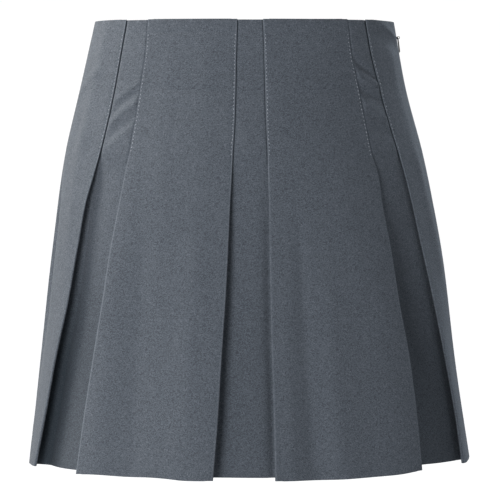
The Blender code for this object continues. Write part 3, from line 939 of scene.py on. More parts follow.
@dataclass
class Panel(ClothPiece):
    """A panel with its two turned edges."""

    hang: tuple[float, float] = (0.0, 0.0)  # how much lower the last return hangs, by its edge and at its end

    def edges(self) -> tuple[tuple[str, Way], tuple[str, Way]]:
        """The panel's two lines, and which way it lies from each."""
        return (self.first, Way.ON), (self.last, Way.BACK)

    def edge(self, line: str, way: Way, drop: Array) -> tuple[Array, Array]:
        """The columns from a panel's hidden end, round its edge, to the start of its face.

        The return is a straight run, and the edge a half circle; each length along the outline becomes an
        angle through the outline's millimetres a radian.

        Args:
            line: the edge's line.
            way: which way the panel lies from it.
            drop: the rings' drops.

        Returns:
            The columns' angles and depths.
        """
        at = FORM.line(line, drop)
        if lie_of(line) is Lie.SEAM:
            roll, lift = np.full(drop.shape, SEAM_ROLL), np.zeros(drop.shape)
            shift = self.parting(line, drop) / 2
            run = np.full(drop.shape, SEAM_REACH)
        else:
            pleat = pleat_of(line)
            roll, lift, shift = pleat.at("roll", drop), pleat.at("lift", drop), np.zeros(drop.shape)
            run = reach(drop)
        middle = CLOTH / 2 + roll
        shares = np.linspace(0.0, 1.0, EDGE_RUN + 1)[:-1, None]
        along = run + shares * (middle + shift - run)
        depth = np.broadcast_to(middle + roll - lift, along.shape)
        turns = np.linspace(0.0, math.pi, EDGE_TURN)[:, None]
        along = np.concatenate([along, middle + shift - roll * np.sin(turns)])
        depth = np.concatenate([depth, middle - lift + roll * np.cos(turns)])
        face = np.array(EDGE_FACE)[:, None]
        along = np.concatenate([along, middle + shift + face])
        depth = np.concatenate([depth, np.full((len(face), len(drop)), CLOTH / 2)])
        return at + way.value * along / FORM.per_turn(at, drop), depth

    def parting(self, line: str, drop: Array) -> Array:
        """How far a seam's two edges stand apart: closed, but for the room beside the zip's lug."""
        return SEAM_GAP + (LUG_GAP if line == "seam_right" else 0.0) * beside_lug(drop)

    def stitch_groove(self, angle: Array, drop: Array) -> Array:
        """The line that the stitches pull in beside each fold, above the release: a bell across it.

        Args:
            angle: radians round the outline.
            drop: how far below the waist.

        Returns:
            How far the face is pulled in, in millimetres.
        """
        total = np.zeros(angle.shape)
        for line, way in self.edges():
            if lie_of(line) is Lie.FOLD:
                at = FORM.line(line, drop)
                off = way.value * (angle - at) * FORM.per_turn(at, drop)
                held = ease((drop - STITCH_START + PULL_IN / 2) / PULL_IN)
                held = held * (1.0 - ease((drop - RELEASE - PULL_PAST) / PULL_OUT))
                pull = PULL + PULL_SWAY * np.sin(2 * math.pi * drop / STITCH_PITCH)
                total = total + held * pull * np.exp(-((off - STITCH_INSET) / PULL_WIDTH) ** 2)
        return total

    def from_folds(self, angle: Array, drop: Array) -> tuple[Array, Array]:
        """What the edges do to the face.

        Args:
            angle: radians round the outline.
            drop: how far below the waist.

        Returns:
            How much the folds lift it, in millimetres, and a share that goes from 0 at an edge to 1 away
            from both.
        """
        lift, clear = np.zeros(angle.shape), np.ones(angle.shape)
        for line, way in self.edges():
            at = FORM.line(line, drop)
            off = np.clip(way.value * (angle - at) * FORM.per_turn(at, drop), 0.0, None)
            clear = clear * ease((off - CLEAR_START) / CLEAR_RUN)
            if lie_of(line) is Lie.FOLD:
                lift = lift + fold_lift(line, off, drop)
        return lift, clear

    def surface(self) -> tuple[Array, Array, Array]:
        """The panel from one hidden end to the other: its form less the lifts, creases and grooves.

        Returns:
            The middle of the cloth, where it is doubled and its painted highlight on the folds' crests.
        """
        middle = self.middle_angle()
        drop = PANEL_TOP + self.rings * (FORM.hem(middle) - PANEL_TOP)
        a0, d0 = self.edge(self.first, Way.ON, drop)
        a1, d1 = self.edge(self.last, Way.BACK, drop)
        level = np.array(THIGH_LEVEL)
        turn = FORM.line(self.last, level) - FORM.line(self.first, level)
        steps = max(8, int(float(FORM.per_turn(middle, level) * turn) / FACE_STEP))
        shares = (np.arange(1, steps) / steps)[:, None]
        face = a0[-1] + shares * (a1[-1] - a0[-1])
        angle = np.concatenate([a0, face, a1[::-1]])
        depth = np.concatenate([d0, np.full(face.shape, CLOTH / 2), d1[::-1]])
        hem = FORM.hem(angle)
        hem[-EDGE_RUN:] += np.linspace(*self.hang, EDGE_RUN)[:, None]
        fall = PANEL_TOP + self.rings * (hem - PANEL_TOP)
        edge = EDGE_RUN + EDGE_TURN
        on_face = np.zeros((len(angle), 1))
        on_face[edge:-edge] = 1.0
        lift, clear = self.from_folds(angle, fall)
        unevenness = ripple(angle, fall, self.seed) * ease(fall / RIPPLE_RUN)
        depth = depth - clear * (crease_relief(self.creases, angle, fall) + unevenness)
        depth = depth + on_face * (self.stitch_groove(angle, fall) + self.hem_groove(fall, hem) - lift)
        doubled = np.zeros(angle.shape)
        doubled[len(a0) : -len(a1)] = 1.0
        turned = (hem - fall < HEM_TURN) | (fall < WAIST_TURN)
        # A painted highlight on the crest of each fold, set apart above and below the release.
        painted_highlight = np.zeros(angle.shape)
        lower = ease((fall - RELEASE) / CREST_RUN)
        crest = slice(edge - EDGE_CREST, edge + 1)
        for line, way in self.edges():
            if lie_of(line) is Lie.FOLD:
                high, low = named(line, CRESTS, CREST), named(line, LOW_CRESTS, LOW_CREST)
                order = slice(None, None, int(way.value))
                painted_highlight[order][crest] = (high + (low - high) * lower)[order][crest]
        return FORM.point(angle, fall, depth), doubled * turned, painted_highlight


@dataclass
class Inset(ClothPiece):
    """The strip at the bottom of a pleat, from under one return to under the other."""

    hem_lift: float = 1.4
    sunk: float = 0.28  # how far its face lies below the panels' between the stitched folds
    dip: float = 0.0  # how far it turns in beside its last line, below the release
    hang: float = 0.0  # how much lower its hem hangs beside its first line
    flat: float = 0.0  # how far it is pulled in, midway at the hem, to run flat from fold to fold
    shade: tuple[float, float] = (0.0, 0.0)  # painted shade: how much darker it is painted low down, in the first mouth and beyond

    def surface(self) -> tuple[Array, Array, Array]:
        """The strip behind both returns, and forward between the stitched folds.

        Beside a stitched fold it comes forward within a millimetre or so, by one less a falling exponential;
        below the release the forward part eases out. Under a return it eases back to lie against it.

        Returns:
            The middle of the cloth, where it is doubled and its painted shade.
        """
        drop = INSET_TOP + self.rings * (FORM.hem(self.middle_angle()) - self.hem_lift - INSET_TOP)
        start, end = FORM.line(self.first, drop), FORM.line(self.last, drop)
        per_start, per_end = FORM.per_turn(start, drop), FORM.per_turn(end, drop)
        near = np.array(STRIP_EDGE)[:, None]
        hidden = np.linspace(1.0, 0.0, STRIP_HIDDEN + 1)[:-1, None]
        first = np.concatenate([start - hidden * reach(drop) / per_start, start + near / per_start])
        last = np.concatenate([end + hidden * reach(drop) / per_end, end - near / per_end])
        shares = (np.arange(1, STRIP_STEPS) / STRIP_STEPS)[:, None]
        between = first[-1] + shares * (last[-1] - first[-1])
        angle = np.concatenate([first, between, last[::-1]])
        after, before = (angle - start) * per_start, (end - angle) * per_end
        share = np.clip(after / np.clip(after + before, 1.0, None), 0.0, 1.0)
        hem = FORM.hem(angle) - self.hem_lift + self.hang * (1.0 - share) ** STRIP_SKEW
        fall = INSET_TOP + self.rings * (hem - INSET_TOP)
        first_near = after < before
        off = np.minimum(after, before)
        low, high = pleat_of(self.first).behind(fall), pleat_of(self.last).behind(fall)
        depth = low + (1.0 - (1.0 - share) ** STRIP_SKEW) * (high - low) + CLOTH + NESTLE
        gap = np.where(first_near, named(self.first, GROOVES, GROOVE), named(self.last, GROOVES, GROOVE))
        beside = 1.0 - np.exp(-((np.clip(off - gap, 0.0, None) / GROOVE_WIDTH) ** GROOVE_POWER))
        held = 1.0 - ease((fall - RELEASE + HELD_START) / HELD_RUN)
        opened = ease((fall - RELEASE) / OPEN_RUN)
        hug = np.where(first_near, pleat_of(self.first).tucked(fall), pleat_of(self.last).tucked(fall))
        depth = depth + self.flat * 4.0 * share * (1.0 - share) * opened
        depth = depth + ease(-off / reach(fall)) * (hug + CLOTH + NESTLE - depth)
        depth = depth + self.dip * np.exp(-((before / DIP_WIDTH) ** 2)) * opened
        depth = depth - held * beside * (depth - CLOTH / 2 - self.sunk)
        relief = crease_relief(self.creases, angle, fall) + STRIP_RIPPLE * ripple(angle, fall, self.seed)
        depth = depth - ease(off / STRIP_CLEAR) * relief + self.hem_groove(fall, hem)
        turned = (hem - fall < HEM_TURN) | (fall < WAIST_TURN)
        # Painted shade in the crack beside each stitched fold, where it is held above the release.
        crack = np.where(first_near, named(self.first, CRACKS, CRACK), named(self.last, CRACKS, CRACK))
        return FORM.point(angle, fall, depth), 1.0 * turned, self.tone(off, after, fall, held * crack)

    def tone(self, off: Array, after: Array, drop: Array, crack: Array) -> Array:
        """The strip's painted shade: a bell in each crack, and a shade that eases in low down.

        Args:
            off: how far from the nearer fold.
            after: how far from the first fold.
            drop: how far below the waist.
            crack: how dark the painted shade in the crack beside the nearer fold is.

        Returns:
            The tone, from 0 down to -1.
        """
        deep = np.exp(-((np.clip(after + SHADE_NEAR, 0.0, None) / SHADE_WIDTH) ** 2))
        low_down = ease((drop - SHADE_START) / SHADE_RUN)
        shaded = low_down * (self.shade[1] + (self.shade[0] - self.shade[1]) * deep)
        return -crack * np.exp(-((np.clip(off, 0.0, None) / CRACK_WIDTH) ** 2)) - shaded


def rods(name: str, points: Array) -> bpy.types.Object:
    """A mesh of closed rods: quads from ring to ring, and a fan of triangles over each end.

    Args:
        name: the piece's name.
        points: (rods, rings, sides, 3) places in metres.

    Returns:
        The object.
    """
    count, rings, sides = points.shape[:3]
    start = (np.arange(count) * rings * sides)[:, None, None]
    base = start + (np.arange(rings - 1) * sides)[:, None]
    here, after = np.arange(sides), (np.arange(sides) + 1) % sides
    quads = np.stack([base + here, base + after, base + after + sides, base + here + sides], axis=-1)
    fan = np.stack([np.zeros(sides - 2, int), np.arange(2, sides), np.arange(1, sides - 1)], axis=-1)
    ends = np.concatenate([start + fan, start + (rings - 1) * sides + fan[:, ::-1]])
    return mesh_object(name, points.reshape(-1, 3), quads.reshape(-1, 4), ends.reshape(-1, 3))


@dataclass
class StitchRow:
    """A row of edge stitches that holds a fold down, from below the waist turn to the release."""

    line: str
    way: Way
    seed: int = 3
    radius: float = STITCH_RADIUS
    end: float = RELEASE + 3.0
    sunk: float = 0.14  # how deep a stitch's ends lie in the cloth
    bow: float = 0.16  # how much higher its middle is
    stray: tuple[float, float] = (0.12, 0.07)  # how much its place varies along the row and across it
    proud: tuple[float, float] = (-0.28, 0.06)  # the least and the most that it is raised
    rings: int = 7
    sides: int = 6

    def build(self, finish: bpy.types.Material) -> bpy.types.Object:
        """All the stitches of a row as one mesh.

        Each is a bowed rod: round across, pointed at both ends, its ends in the cloth and its middle more or
        less proud of it. Their spacing, lean and height vary, from the seed.

        Args:
            finish: the thread.

        Returns:
            The row.
        """
        draw = np.random.default_rng(self.seed)
        drops = np.arange(STITCH_START, self.end, STITCH_PITCH)
        drops = drops + draw.normal(0.0, self.stray[0], drops.shape)
        line = FORM.line(self.line, drops)
        inset = STITCH_INSET + draw.normal(0.0, self.stray[1], drops.shape)
        angle = line + self.way.value * inset / FORM.per_turn(line, drops)
        ends = []
        for side in (-0.5, 0.5):
            fall = drops + side * STITCH_LENGTH
            shifted = angle + FORM.line(self.line, fall) - line
            ends.append(FORM.point(shifted, fall, np.full(drops.shape, self.sunk)))
        start, stop = ends
        out = FORM.point(angle, drops, np.full(drops.shape, -1.0))
        out = out - FORM.point(angle, drops, np.zeros(drops.shape))
        out /= np.linalg.norm(out, axis=-1, keepdims=True)
        along = (stop - start) / 2
        side = np.cross(out, along / np.linalg.norm(along, axis=-1, keepdims=True))
        t = np.linspace(-1.0, 1.0, self.rings)[None, :, None, None]
        turn = np.linspace(0.0, 2 * math.pi, self.sides + 1)[:-1][None, None, :, None]
        radius = self.radius * MM * np.sqrt(np.clip(1.04 - t**4, 0.0, 1.0))
        proud = draw.uniform(*self.proud, drops.shape)[:, None, None, None]
        bow = (self.bow * (1.0 - t**2) + proud) * MM
        middle, along, out, side = (part[:, None, None] for part in ((start + stop) / 2, along, out, side))
        points = middle + t * along + bow * out + radius * (np.cos(turn) * out + np.sin(turn) * side)
        made = rods(f"stitches_{self.line}", points)
        made.data.materials.append(finish)
        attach(made, SKIRT_BODY)
        return made


@dataclass
class ZipTape:
    """One of the two woven tapes behind the side seam."""

    node: str
    way: Way
    near: float = 0.35  # how far from the seam it starts
    width: float = 12.0
    depth: float = 2.1
    top: float = 2.0
    end: float = 184.0
    rows: int = 60
    columns: int = 7

    def build(self, finish: bpy.types.Material) -> bpy.types.Object:
        """The tape: a thin shell on a grid from beside the seam to its far edge.

        Args:
            finish: the tape's weave.

        Returns:
            The tape.
        """
        drop = np.linspace(self.top, self.end, self.rows)
        seam = FORM.line("seam_right", drop)
        away = np.linspace(self.near, self.width, self.columns)[:, None] + LUG_GAP / 2 * beside_lug(drop)
        angle = seam + self.way.value * away / FORM.per_turn(seam, drop)
        if self.way is Way.BACK:
            angle = angle[::-1]
        middle = FORM.point(angle, np.broadcast_to(drop, angle.shape), np.full(angle.shape, self.depth))
        shell = ClothShell(self.node + "_weave", middle, np.zeros(angle.shape))
        made = shell.build()
        made.data.materials.append(finish)
        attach(made, SKIRT_BODY)
        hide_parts(self.node)
        return made


@dataclass
class ZipCoil:
    """The coil of one side of the zip: a fine nylon helix on the tape's edge."""

    node: str
    way: Way
    pitch: float = 1.3
    radius: float = 0.85
    squeeze: float = 0.55  # a pressed coil's half width and half depth, in its radius
    wire: float = 0.32
    near: float = 0.75  # how far from the seam it starts
    depth: float = 3.4
    top: float = 22.0
    end: float = 178.0
    steps: int = 10  # a turn
    sides: int = 5

    def build(self, finish: bpy.types.Material) -> bpy.types.Object:
        """The helix: a round wire carried along a circle that moves down the seam.

        Args:
            finish: the nylon, dyed as the tape is.

        Returns:
            The coil.
        """
        turns = int((self.end - self.top) / self.pitch)
        t = np.linspace(0.0, turns * 2 * math.pi, turns * self.steps + 1)
        drop = self.top + (self.end - self.top) * t / t[-1]
        seam = FORM.line("seam_right", drop)
        away = self.near + self.squeeze * self.radius * (1 + np.cos(t))
        depth = self.depth + self.squeeze * self.radius * np.sin(t)
        path = FORM.point(seam + self.way.value * away / FORM.per_turn(seam, drop), drop, depth)
        made = tube(self.node, path, self.wire / 2 * MM, self.sides)
        made.data.materials.append(finish)
        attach(made, SKIRT_BODY)
        return made


NEVER_ALONG = (0.93, 0.21, -0.3)  # a direction that no tube's path runs along


def tube(name: str, path: Array, radius: float, sides: int) -> bpy.types.Object:
    """A round tube with closed ends along a path.

    Each ring is a circle in the plane across the path's tangent, its axes taken from the tangent and a
    fixed direction that the path never runs along.

    Args:
        name: the piece's name.
        path: (n, 3) places in metres.
        radius: the tube's, in metres.
        sides: of each ring.

    Returns:
        The object.
    """
    tangent = np.gradient(path, axis=0)
    tangent /= np.linalg.norm(tangent, axis=-1, keepdims=True)
    across = np.cross(tangent, np.array(NEVER_ALONG))
    across /= np.linalg.norm(across, axis=-1, keepdims=True)
    other = np.cross(tangent, across)
    turn = np.linspace(0.0, 2 * math.pi, sides + 1)[:-1][None, :, None]
    points = path[:, None] + radius * (np.cos(turn) * across[:, None] + np.sin(turn) * other[:, None])
    return rods(name, points[None])


def signed_power(value: Array, power: float) -> Array:
    """The value's size raised to a power, with the value's sign, as on a squared-off oval."""
    return np.sign(value) * np.abs(value) ** power


@dataclass
class PullTab:
    """The zip's pull tab: a flat drop with an eye that hangs on the slider's lug."""

    node: str = "zip_tab"
    thick: float = 1.0
    shoulder: float = 1.75
    foot: float = 2.3
    top: float = -0.28
    length: float = 13.5
    eye_half: float = 0.9
    eye_top: float = 0.28
    eye_foot: float = 2.28
    hollow: float = 0.12  # how far its faces are hollowed, where the band is wide
    rest_lean: float = -5.0  # degrees that it hangs in from its solid's slope
    sunk: float = 0.65  # how far in from the hinge its middle lies
    columns: int = 48

    def outlines(self) -> tuple[Array, Array]:
        """The drop's outer egg and its eye, both squared-off ovals, the egg wider at its foot.

        Returns:
            Points of the egg and of the eye at the same turns, across and down in millimetres.
        """
        turn = np.linspace(0.0, 2 * math.pi, self.columns + 1)[:-1]
        middle, half = (self.top + self.length) / 2, (self.length - self.top) / 2
        down = middle - half * signed_power(np.cos(turn), 0.8)
        share = (down - self.top) / (self.length - self.top)
        width = self.shoulder + (self.foot - self.shoulder) * ease(share)
        outer = np.stack([width * signed_power(np.sin(turn), 0.55), down], axis=-1)
        middle, half = (self.eye_top + self.eye_foot) / 2, (self.eye_foot - self.eye_top) / 2
        across = self.eye_half * signed_power(np.sin(turn), 0.7)
        inner = np.stack([across, middle - half * signed_power(np.cos(turn), 0.7)], axis=-1)
        return outer, inner

    def section(self, gap: Array) -> tuple[Array, Array]:
        """The band's section: a half circle at each edge, and between them two faces hollowed a little.

        Args:
            gap: how wide the band is at each turn.

        Returns:
            For each turn, the section's shares of the way from egg to eye, and its heights in millimetres.
        """
        half = self.thick / 2
        lean = np.radians(np.linspace(-90.0, 90.0, 5))[:, None]
        edge = half * (1.0 - np.cos(lean)) / gap
        rise = np.broadcast_to(half * np.sin(lean), edge.shape)
        across = np.broadcast_to(np.array([[0.35], [0.65]]), (2, len(gap)))
        face = np.broadcast_to(half - self.hollow * ease((gap - 3.0) / 4.0), across.shape)
        shares = np.concatenate([edge, across, 1.0 - edge, across[::-1]])
        return shares.T, np.concatenate([rise, face, -rise, -face]).T

    def build(self, finish: bpy.types.Material) -> bpy.types.Object:
        """The drop: a closed band between its two outlines, hung on the hinge along its solid's slope.

        Args:
            finish: the enamel.

        Returns:
            The tab.
        """
        outer, inner = self.outlines()
        share, height = self.section(np.linalg.norm(outer - inner, axis=-1))
        flat = outer[:, None] + share[..., None] * (inner - outer)[:, None]
        low, high = (np.array(corner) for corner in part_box(self.node))
        hinge = np.array(next(j["pos_m"] for j in frame["joints"] if j["child"] == TAB_BODY))
        slope = math.atan2(float(high[0] - hinge[0]), float(hinge[2] - low[2])) + math.radians(self.rest_lean)
        down = np.array([math.sin(slope), 0.0, -math.cos(slope)])
        out = np.array([math.cos(slope), 0.0, math.sin(slope)])
        side = np.array([0.0, 1.0, 0.0])
        raised = (height[..., None] - self.sunk) * out
        points = hinge + (flat[..., :1] * side + flat[..., 1:] * down + raised) * MM
        columns, around = points.shape[:2]
        here, on = np.arange(columns)[:, None], ((np.arange(columns) + 1) % columns)[:, None]
        spot, after = np.arange(around), (np.arange(around) + 1) % around
        corners = [here * around + spot, here * around + after, on * around + after, on * around + spot]
        quads = np.stack(corners, axis=-1).reshape(-1, 4)
        made = mesh_object("pull_tab_drop", points.reshape(-1, 3), quads)
        made.data.materials.append(finish)
        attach(made, TAB_BODY)
        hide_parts(self.node)
        return made


SKIRT_MIDDLE = (0.0, 0.0, -0.2)


@dataclass(frozen=True)
class Lamp:
    """A square soft light, placed by its way round the skirt (0 in front, -90 at -X), rise and distance."""

    name: str
    way: float
    rise: float
    power: float
    size: float = 1.2
    distance: float = 3.0
    tint: str = "#ffffff"

    def build(self) -> bpy.types.Object:
        """The light, turned to the skirt's middle and out of the camera's sight.

        Returns:
            The light.
        """
        data = bpy.data.lights.new(self.name, "AREA")
        data.size = self.size
        data.energy = self.power
        data.color = linear(self.tint)[:3]
        made = bpy.data.objects.new(self.name, data)
        way, rise = math.radians(self.way), math.radians(self.rise)
        out = Vector((math.sin(way) * math.cos(rise), -math.cos(way) * math.cos(rise), math.sin(rise)))
        made.location = Vector(SKIRT_MIDDLE) + out * self.distance
        made.rotation_euler = (-out).to_track_quat("-Z", "Y").to_euler()
        made.visible_camera = False
        bpy.context.scene.collection.objects.link(made)
        return made


@dataclass
class Studio:
    """A pale floor, a white horizon under a dimmer sky, soft lamps and the camera at the photo's angle."""

    lamps: tuple[Lamp, ...] = (
        Lamp("key", -25.0, 8.0, 77.0),
        Lamp("front_high", -40.0, 55.0, 11.0),
        Lamp("left_high", -110.0, 55.0, 213.0, tint="#fffaf2"),
        Lamp("back_right", 140.0, 40.0, 104.0, tint="#eef7ff"),
    )
    sky: float = 0.12
    horizon: float = 1.02
    paper_near: float = 0.15
    paper_far: float = 1.0
    camera_at: tuple[float, float, float] = (0.0059, -3.25, -0.1114)
    camera_aim: tuple[float, float, float] = (0.0059, 0.0, -0.2069)
    lens_mm: float = 257.2
    sensor_mm: float = 36.0
    sight: float = 200.0  # how far the camera sees, in metres
    paper: str = "#9a9da1"
    floor_drop: float = 1.0
    floor_half: float = 30.0
    glow_from: float = 3.8  # how far out the floor starts to brighten, and where it is brightest
    glow_to: float = 5.4
    band_from: float = 0.06  # rise at which the white horizon starts to dim, and where the sky starts
    band_to: float = 0.13

    def camera(self) -> None:
        """A long lens level with the hips, looking a little down."""
        data = bpy.data.cameras.new("camera")
        data.lens = self.lens_mm
        data.sensor_width = self.sensor_mm
        data.clip_end = self.sight
        made = bpy.data.objects.new("camera", data)
        made.location = self.camera_at
        way = Vector(self.camera_aim) - Vector(self.camera_at)
        made.rotation_euler = way.to_track_quat("-Z", "Y").to_euler()
        bpy.context.scene.collection.objects.link(made)
        bpy.context.scene.camera = made

    def floor(self) -> None:
        """A wide pale floor as far below the hem as a wearer's feet, brighter towards its far edge."""
        half = self.floor_half
        corners = np.array([[-half, -half], [half, -half], [half, half], [-half, half]])
        points = np.column_stack([corners, np.full(4, -self.floor_drop)])
        made = mesh_object("floor", points, np.array([[0, 1, 2, 3]]))
        paper, tree, shader = new_material("seamless_paper")
        where = add_node(tree, "ShaderNodeTexCoord").outputs["Object"]
        flat = add_node(tree, "ShaderNodeVectorMath", {0: where, 1: (1.0, 1.0, 0.0)}, operation="MULTIPLY")
        far = add_node(tree, "ShaderNodeVectorMath", {0: flat.outputs[0]}, operation="LENGTH")
        spread = {"Value": far.outputs["Value"], "From Min": self.glow_from, "From Max": self.glow_to}
        spread.update({"To Min": self.paper_near, "To Max": self.paper_far})
        glow = add_node(tree, "ShaderNodeMapRange", spread, interpolation_type="SMOOTHSTEP").outputs[0]
        fill(tree, shader, {"Base Color": linear(self.paper), "Roughness": 1.0, "Specular IOR Level": 0.0})
        fill(tree, shader, {"Emission Color": linear("#ffffff"), "Emission Strength": glow})
        made.data.materials.append(paper)

    def surround(self) -> None:
        """The world: a white band round the horizon, seen behind the skirt, under a dimmer sky."""
        world = bpy.data.worlds.new("studio")
        world.use_nodes = True
        tree = world.node_tree
        way = add_node(tree, "ShaderNodeTexCoord").outputs["Generated"]
        rise = add_node(tree, "ShaderNodeSeparateXYZ", {"Vector": way}).outputs["Z"]
        height = add_node(tree, "ShaderNodeMath", {0: rise}, operation="ABSOLUTE").outputs[0]
        band = {"Value": height, "From Min": self.band_from, "From Max": self.band_to}
        band.update({"To Min": self.horizon, "To Max": self.sky})
        strength = add_node(tree, "ShaderNodeMapRange", band, interpolation_type="SMOOTHSTEP").outputs[0]
        fill(tree, tree.nodes["Background"], {"Color": linear("#ffffff"), "Strength": strength})
        bpy.context.scene.world = world

    def build(self) -> None:
        """The whole stage."""
        self.camera()
        self.floor()
        self.surround()
        bpy.context.scene.view_settings.view_transform = "Standard"
        for lamp in self.lamps:
            lamp.build()


BACK_LOWER = 5.0  # how much lower the back's creases lie than the front's
BACK_WIDER = 1.15  # and how much wider
BACK_SOFTER = 0.9  # and how much less they stand out


def round_the_back(creases: tuple[Crease, ...]) -> tuple[Crease, ...]:
    """The same creases on the back of the same side, a little lower and softer.

    Args:
        creases: the front's.

    Returns:
        The back's.
    """
    made = []
    for crease in creases:
        (a0, d0), (a1, d1) = crease.start, crease.end
        ends = (180.0 - a0, d0 + BACK_LOWER), (180.0 - a1, d1 + BACK_LOWER)
        made.append(Crease(*ends, crease.width * BACK_WIDER, crease.height * BACK_SOFTER, -crease.bow))
    return tuple(made)


FRONT_LEFT_CREASES = (
    Crease((-36.0, 61.0), (-5.0, 64.5), 3.0, -0.4),
    Crease((-33.2, 50.0), (-31.2, 212.0), 8.0, -0.52),
    Crease((-31.2, 212.0), (-31.6, 394.0), 8.0, -0.78),
    Crease((-13.0, 40.0), (-14.6, 212.0), 9.0, 0.45),
    Crease((-14.6, 212.0), (-17.6, 392.0), 9.0, 0.65),
    Crease((-22.4, 78.0), (-23.4, 112.0), 2.6, -0.33),
    Crease((-26.0, 130.0), (-24.0, 190.0), 5.0, 0.33, 3.0),
)
FRONT_RIGHT_CREASES = (
    Crease((9.0, 64.6), (27.0, 58.0), 4.2, 0.65),
    Crease((27.0, 58.0), (40.0, 53.0), 4.2, 0.7),
    Crease((15.6, 190.0), (16.6, 392.0), 5.5, -1.17),
    Crease((11.0, 260.0), (10.8, 392.0), 6.0, 0.65),
    Crease((23.0, 240.0), (23.2, 392.0), 8.0, 0.65),
    Crease((23.6, 118.0), (23.0, 140.0), 2.2, 0.29),
    Crease((31.0, 130.0), (34.0, 230.0), 8.0, 0.39, -3.0),
)
CENTRE_STRIP_CREASES = (
    Crease((-2.0, 65.0), (6.6, 63.8), 2.6, -0.45),
    Crease((0.5, 96.0), (2.5, 150.0), 5.0, 0.42),
)
LEFT_SIDE_CREASES = (
    Crease((-80.0, 66.0), (-64.0, 47.0), 5.0, 1.20, 2.0),
    Crease((-64.0, 14.0), (-64.2, 104.0), 8.0, 1.05),
    Crease((-64.2, 104.0), (-64.8, 190.0), 9.0, 1.35),
    Crease((-56.0, 20.0), (-57.0, 110.0), 6.0, -0.38),
    Crease((-72.0, 100.0), (-76.0, 150.0), 6.0, -0.52),
)
LEFT_STRIP_CREASES = (
    Crease((-40.0, 58.5), (-47.5, 70.0), 3.2, 0.60),
    Crease((-39.0, 65.0), (-49.0, 83.0), 3.0, -0.90, -1.5),
    Crease((-38.6, 74.0), (-48.8, 92.0), 3.0, 1.12, -1.5),
    Crease((-39.0, 88.0), (-48.0, 104.0), 3.6, -0.83, -1.0),
    Crease((-41.0, 100.0), (-47.5, 112.0), 4.0, 0.60),
)
RIGHT_STRIP_CREASES = (
    Crease((44.6, 38.0), (54.4, 51.5), 3.0, -1.8),
    Crease((44.8, 50.0), (54.8, 58.5), 3.2, 1.8),
    Crease((45.4, 63.5), (55.4, 72.0), 3.2, -1.8),
    Crease((46.0, 75.0), (54.5, 88.0), 3.4, 1.5),
    Crease((47.0, 96.0), (55.0, 102.0), 4.0, -0.9),
)
RIGHT_SIDE_CREASES = (
    Crease((66.0, 5.0), (79.5, 14.5), 3.2, 1.5),
    Crease((56.0, 15.0), (78.0, 25.0), 5.0, -0.70),
    Crease((69.5, 34.0), (70.6, 130.0), 8.0, 0.98),
    Crease((70.6, 130.0), (74.6, 216.0), 8.0, 1.26),
    Crease((60.0, 62.0), (74.0, 60.0), 5.0, -0.42),
)

BACK_LEFT_CREASES = round_the_back(FRONT_LEFT_CREASES)
BACK_RIGHT_CREASES = round_the_back(FRONT_RIGHT_CREASES)
BACK_CENTRE_STRIP_CREASES = round_the_back(CENTRE_STRIP_CREASES)

PANELS = (
    Panel("front_panel_left", "outer_left", "inner_left", FRONT_LEFT_CREASES, 11),
    Panel("front_panel_right", "inner_right", "outer_right", FRONT_RIGHT_CREASES, 12),
    Panel("side_front_right", "side_right", "seam_right", RIGHT_SIDE_CREASES, 13),
    Panel("side_back_right", "seam_right", "back_side_right", round_the_back(RIGHT_SIDE_CREASES), 14),
    Panel("back_panel_right", "back_outer_right", "back_inner_right", BACK_RIGHT_CREASES, 15),
    Panel("back_panel_left", "back_inner_left", "back_outer_left", BACK_LEFT_CREASES, 16),
    Panel("side_back_left", "back_side_left", "seam_left", round_the_back(LEFT_SIDE_CREASES), 17),
    Panel("side_front_left", "seam_left", "side_left_round", LEFT_SIDE_CREASES, 18, hang=(-1.6, -1.6)),
)
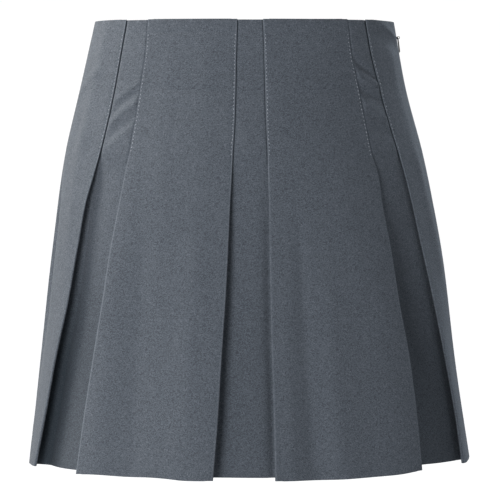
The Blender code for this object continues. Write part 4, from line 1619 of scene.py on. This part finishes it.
# Each strip's shade is painted shade, darker low down in its pleats.
INSETS = (
    Inset(
        "front_inset_left", "side_left", "outer_left", LEFT_STRIP_CREASES, 21,
        hem_lift=1.8, hang=1.2, shade=(0.7, 0.27),
    ),
    Inset(
        "front_inset_centre", "inner_left", "inner_right", CENTRE_STRIP_CREASES, 22,
        hem_lift=1.8, dip=2.0, shade=(0.15, 0.08),
    ),
    Inset(
        "front_inset_right", "outer_right", "side_right", RIGHT_STRIP_CREASES, 23,
        hem_lift=2.3, hang=-0.6, flat=4.0, shade=(0.56, 0.28),
    ),
    Inset("back_inset_right", "back_side_right", "back_outer_right", round_the_back(RIGHT_STRIP_CREASES), 24),
    Inset("back_inset_centre", "back_inner_right", "back_inner_left", BACK_CENTRE_STRIP_CREASES, 25),
    Inset("back_inset_left", "back_outer_left", "back_side_left", round_the_back(LEFT_STRIP_CREASES), 26),
)
STITCHES = (
    StitchRow("side_left", Way.BACK, 31, 0.17),
    StitchRow("outer_left", Way.ON, 32, 0.22),
    StitchRow("inner_left", Way.BACK, seed=33),
    StitchRow("inner_right", Way.ON, seed=34),
    StitchRow("outer_right", Way.BACK, seed=35),
    StitchRow("side_right", Way.ON, 36, 0.22),
    StitchRow("back_side_right", Way.BACK, seed=37),
    StitchRow("back_outer_right", Way.ON, seed=38),
    StitchRow("back_inner_right", Way.BACK, seed=39),
    StitchRow("back_inner_left", Way.ON, seed=40),
    StitchRow("back_outer_left", Way.BACK, seed=41),
    StitchRow("back_side_left", Way.ON, seed=42),
)


def main() -> None:
    """Builds the stage, the cloth, its stitches and the zip, and logs the names of the stitch rows, the zip's
    parts and the tab.
    """
    logging.basicConfig(level=logging.INFO, format="%(name)s %(message)s")
    Studio().build()
    suiting = Suiting().material()
    thread = Thread().material()
    weave = ZipTapeWeave().material()
    enamel = Enamel().material()
    for piece in (*PANELS, *INSETS):
        piece.build(suiting)
    for row in STITCHES:
        LOG.info("%s", row.build(thread).name)
    for side, way in (("front", Way.BACK), ("back", Way.ON)):
        LOG.info("%s", ZipTape(f"zip_tape_{side}", way).build(weave).name)
        LOG.info("%s", ZipCoil(f"zip_coil_{side}", way).build(weave).name)
    slider = frame["nodes"]["zip_slider"].data
    slider.materials.clear()
    slider.materials.append(enamel)
    LOG.info("%s", PullTab().build(enamel).name)


if __name__ == "__main__":
    main()
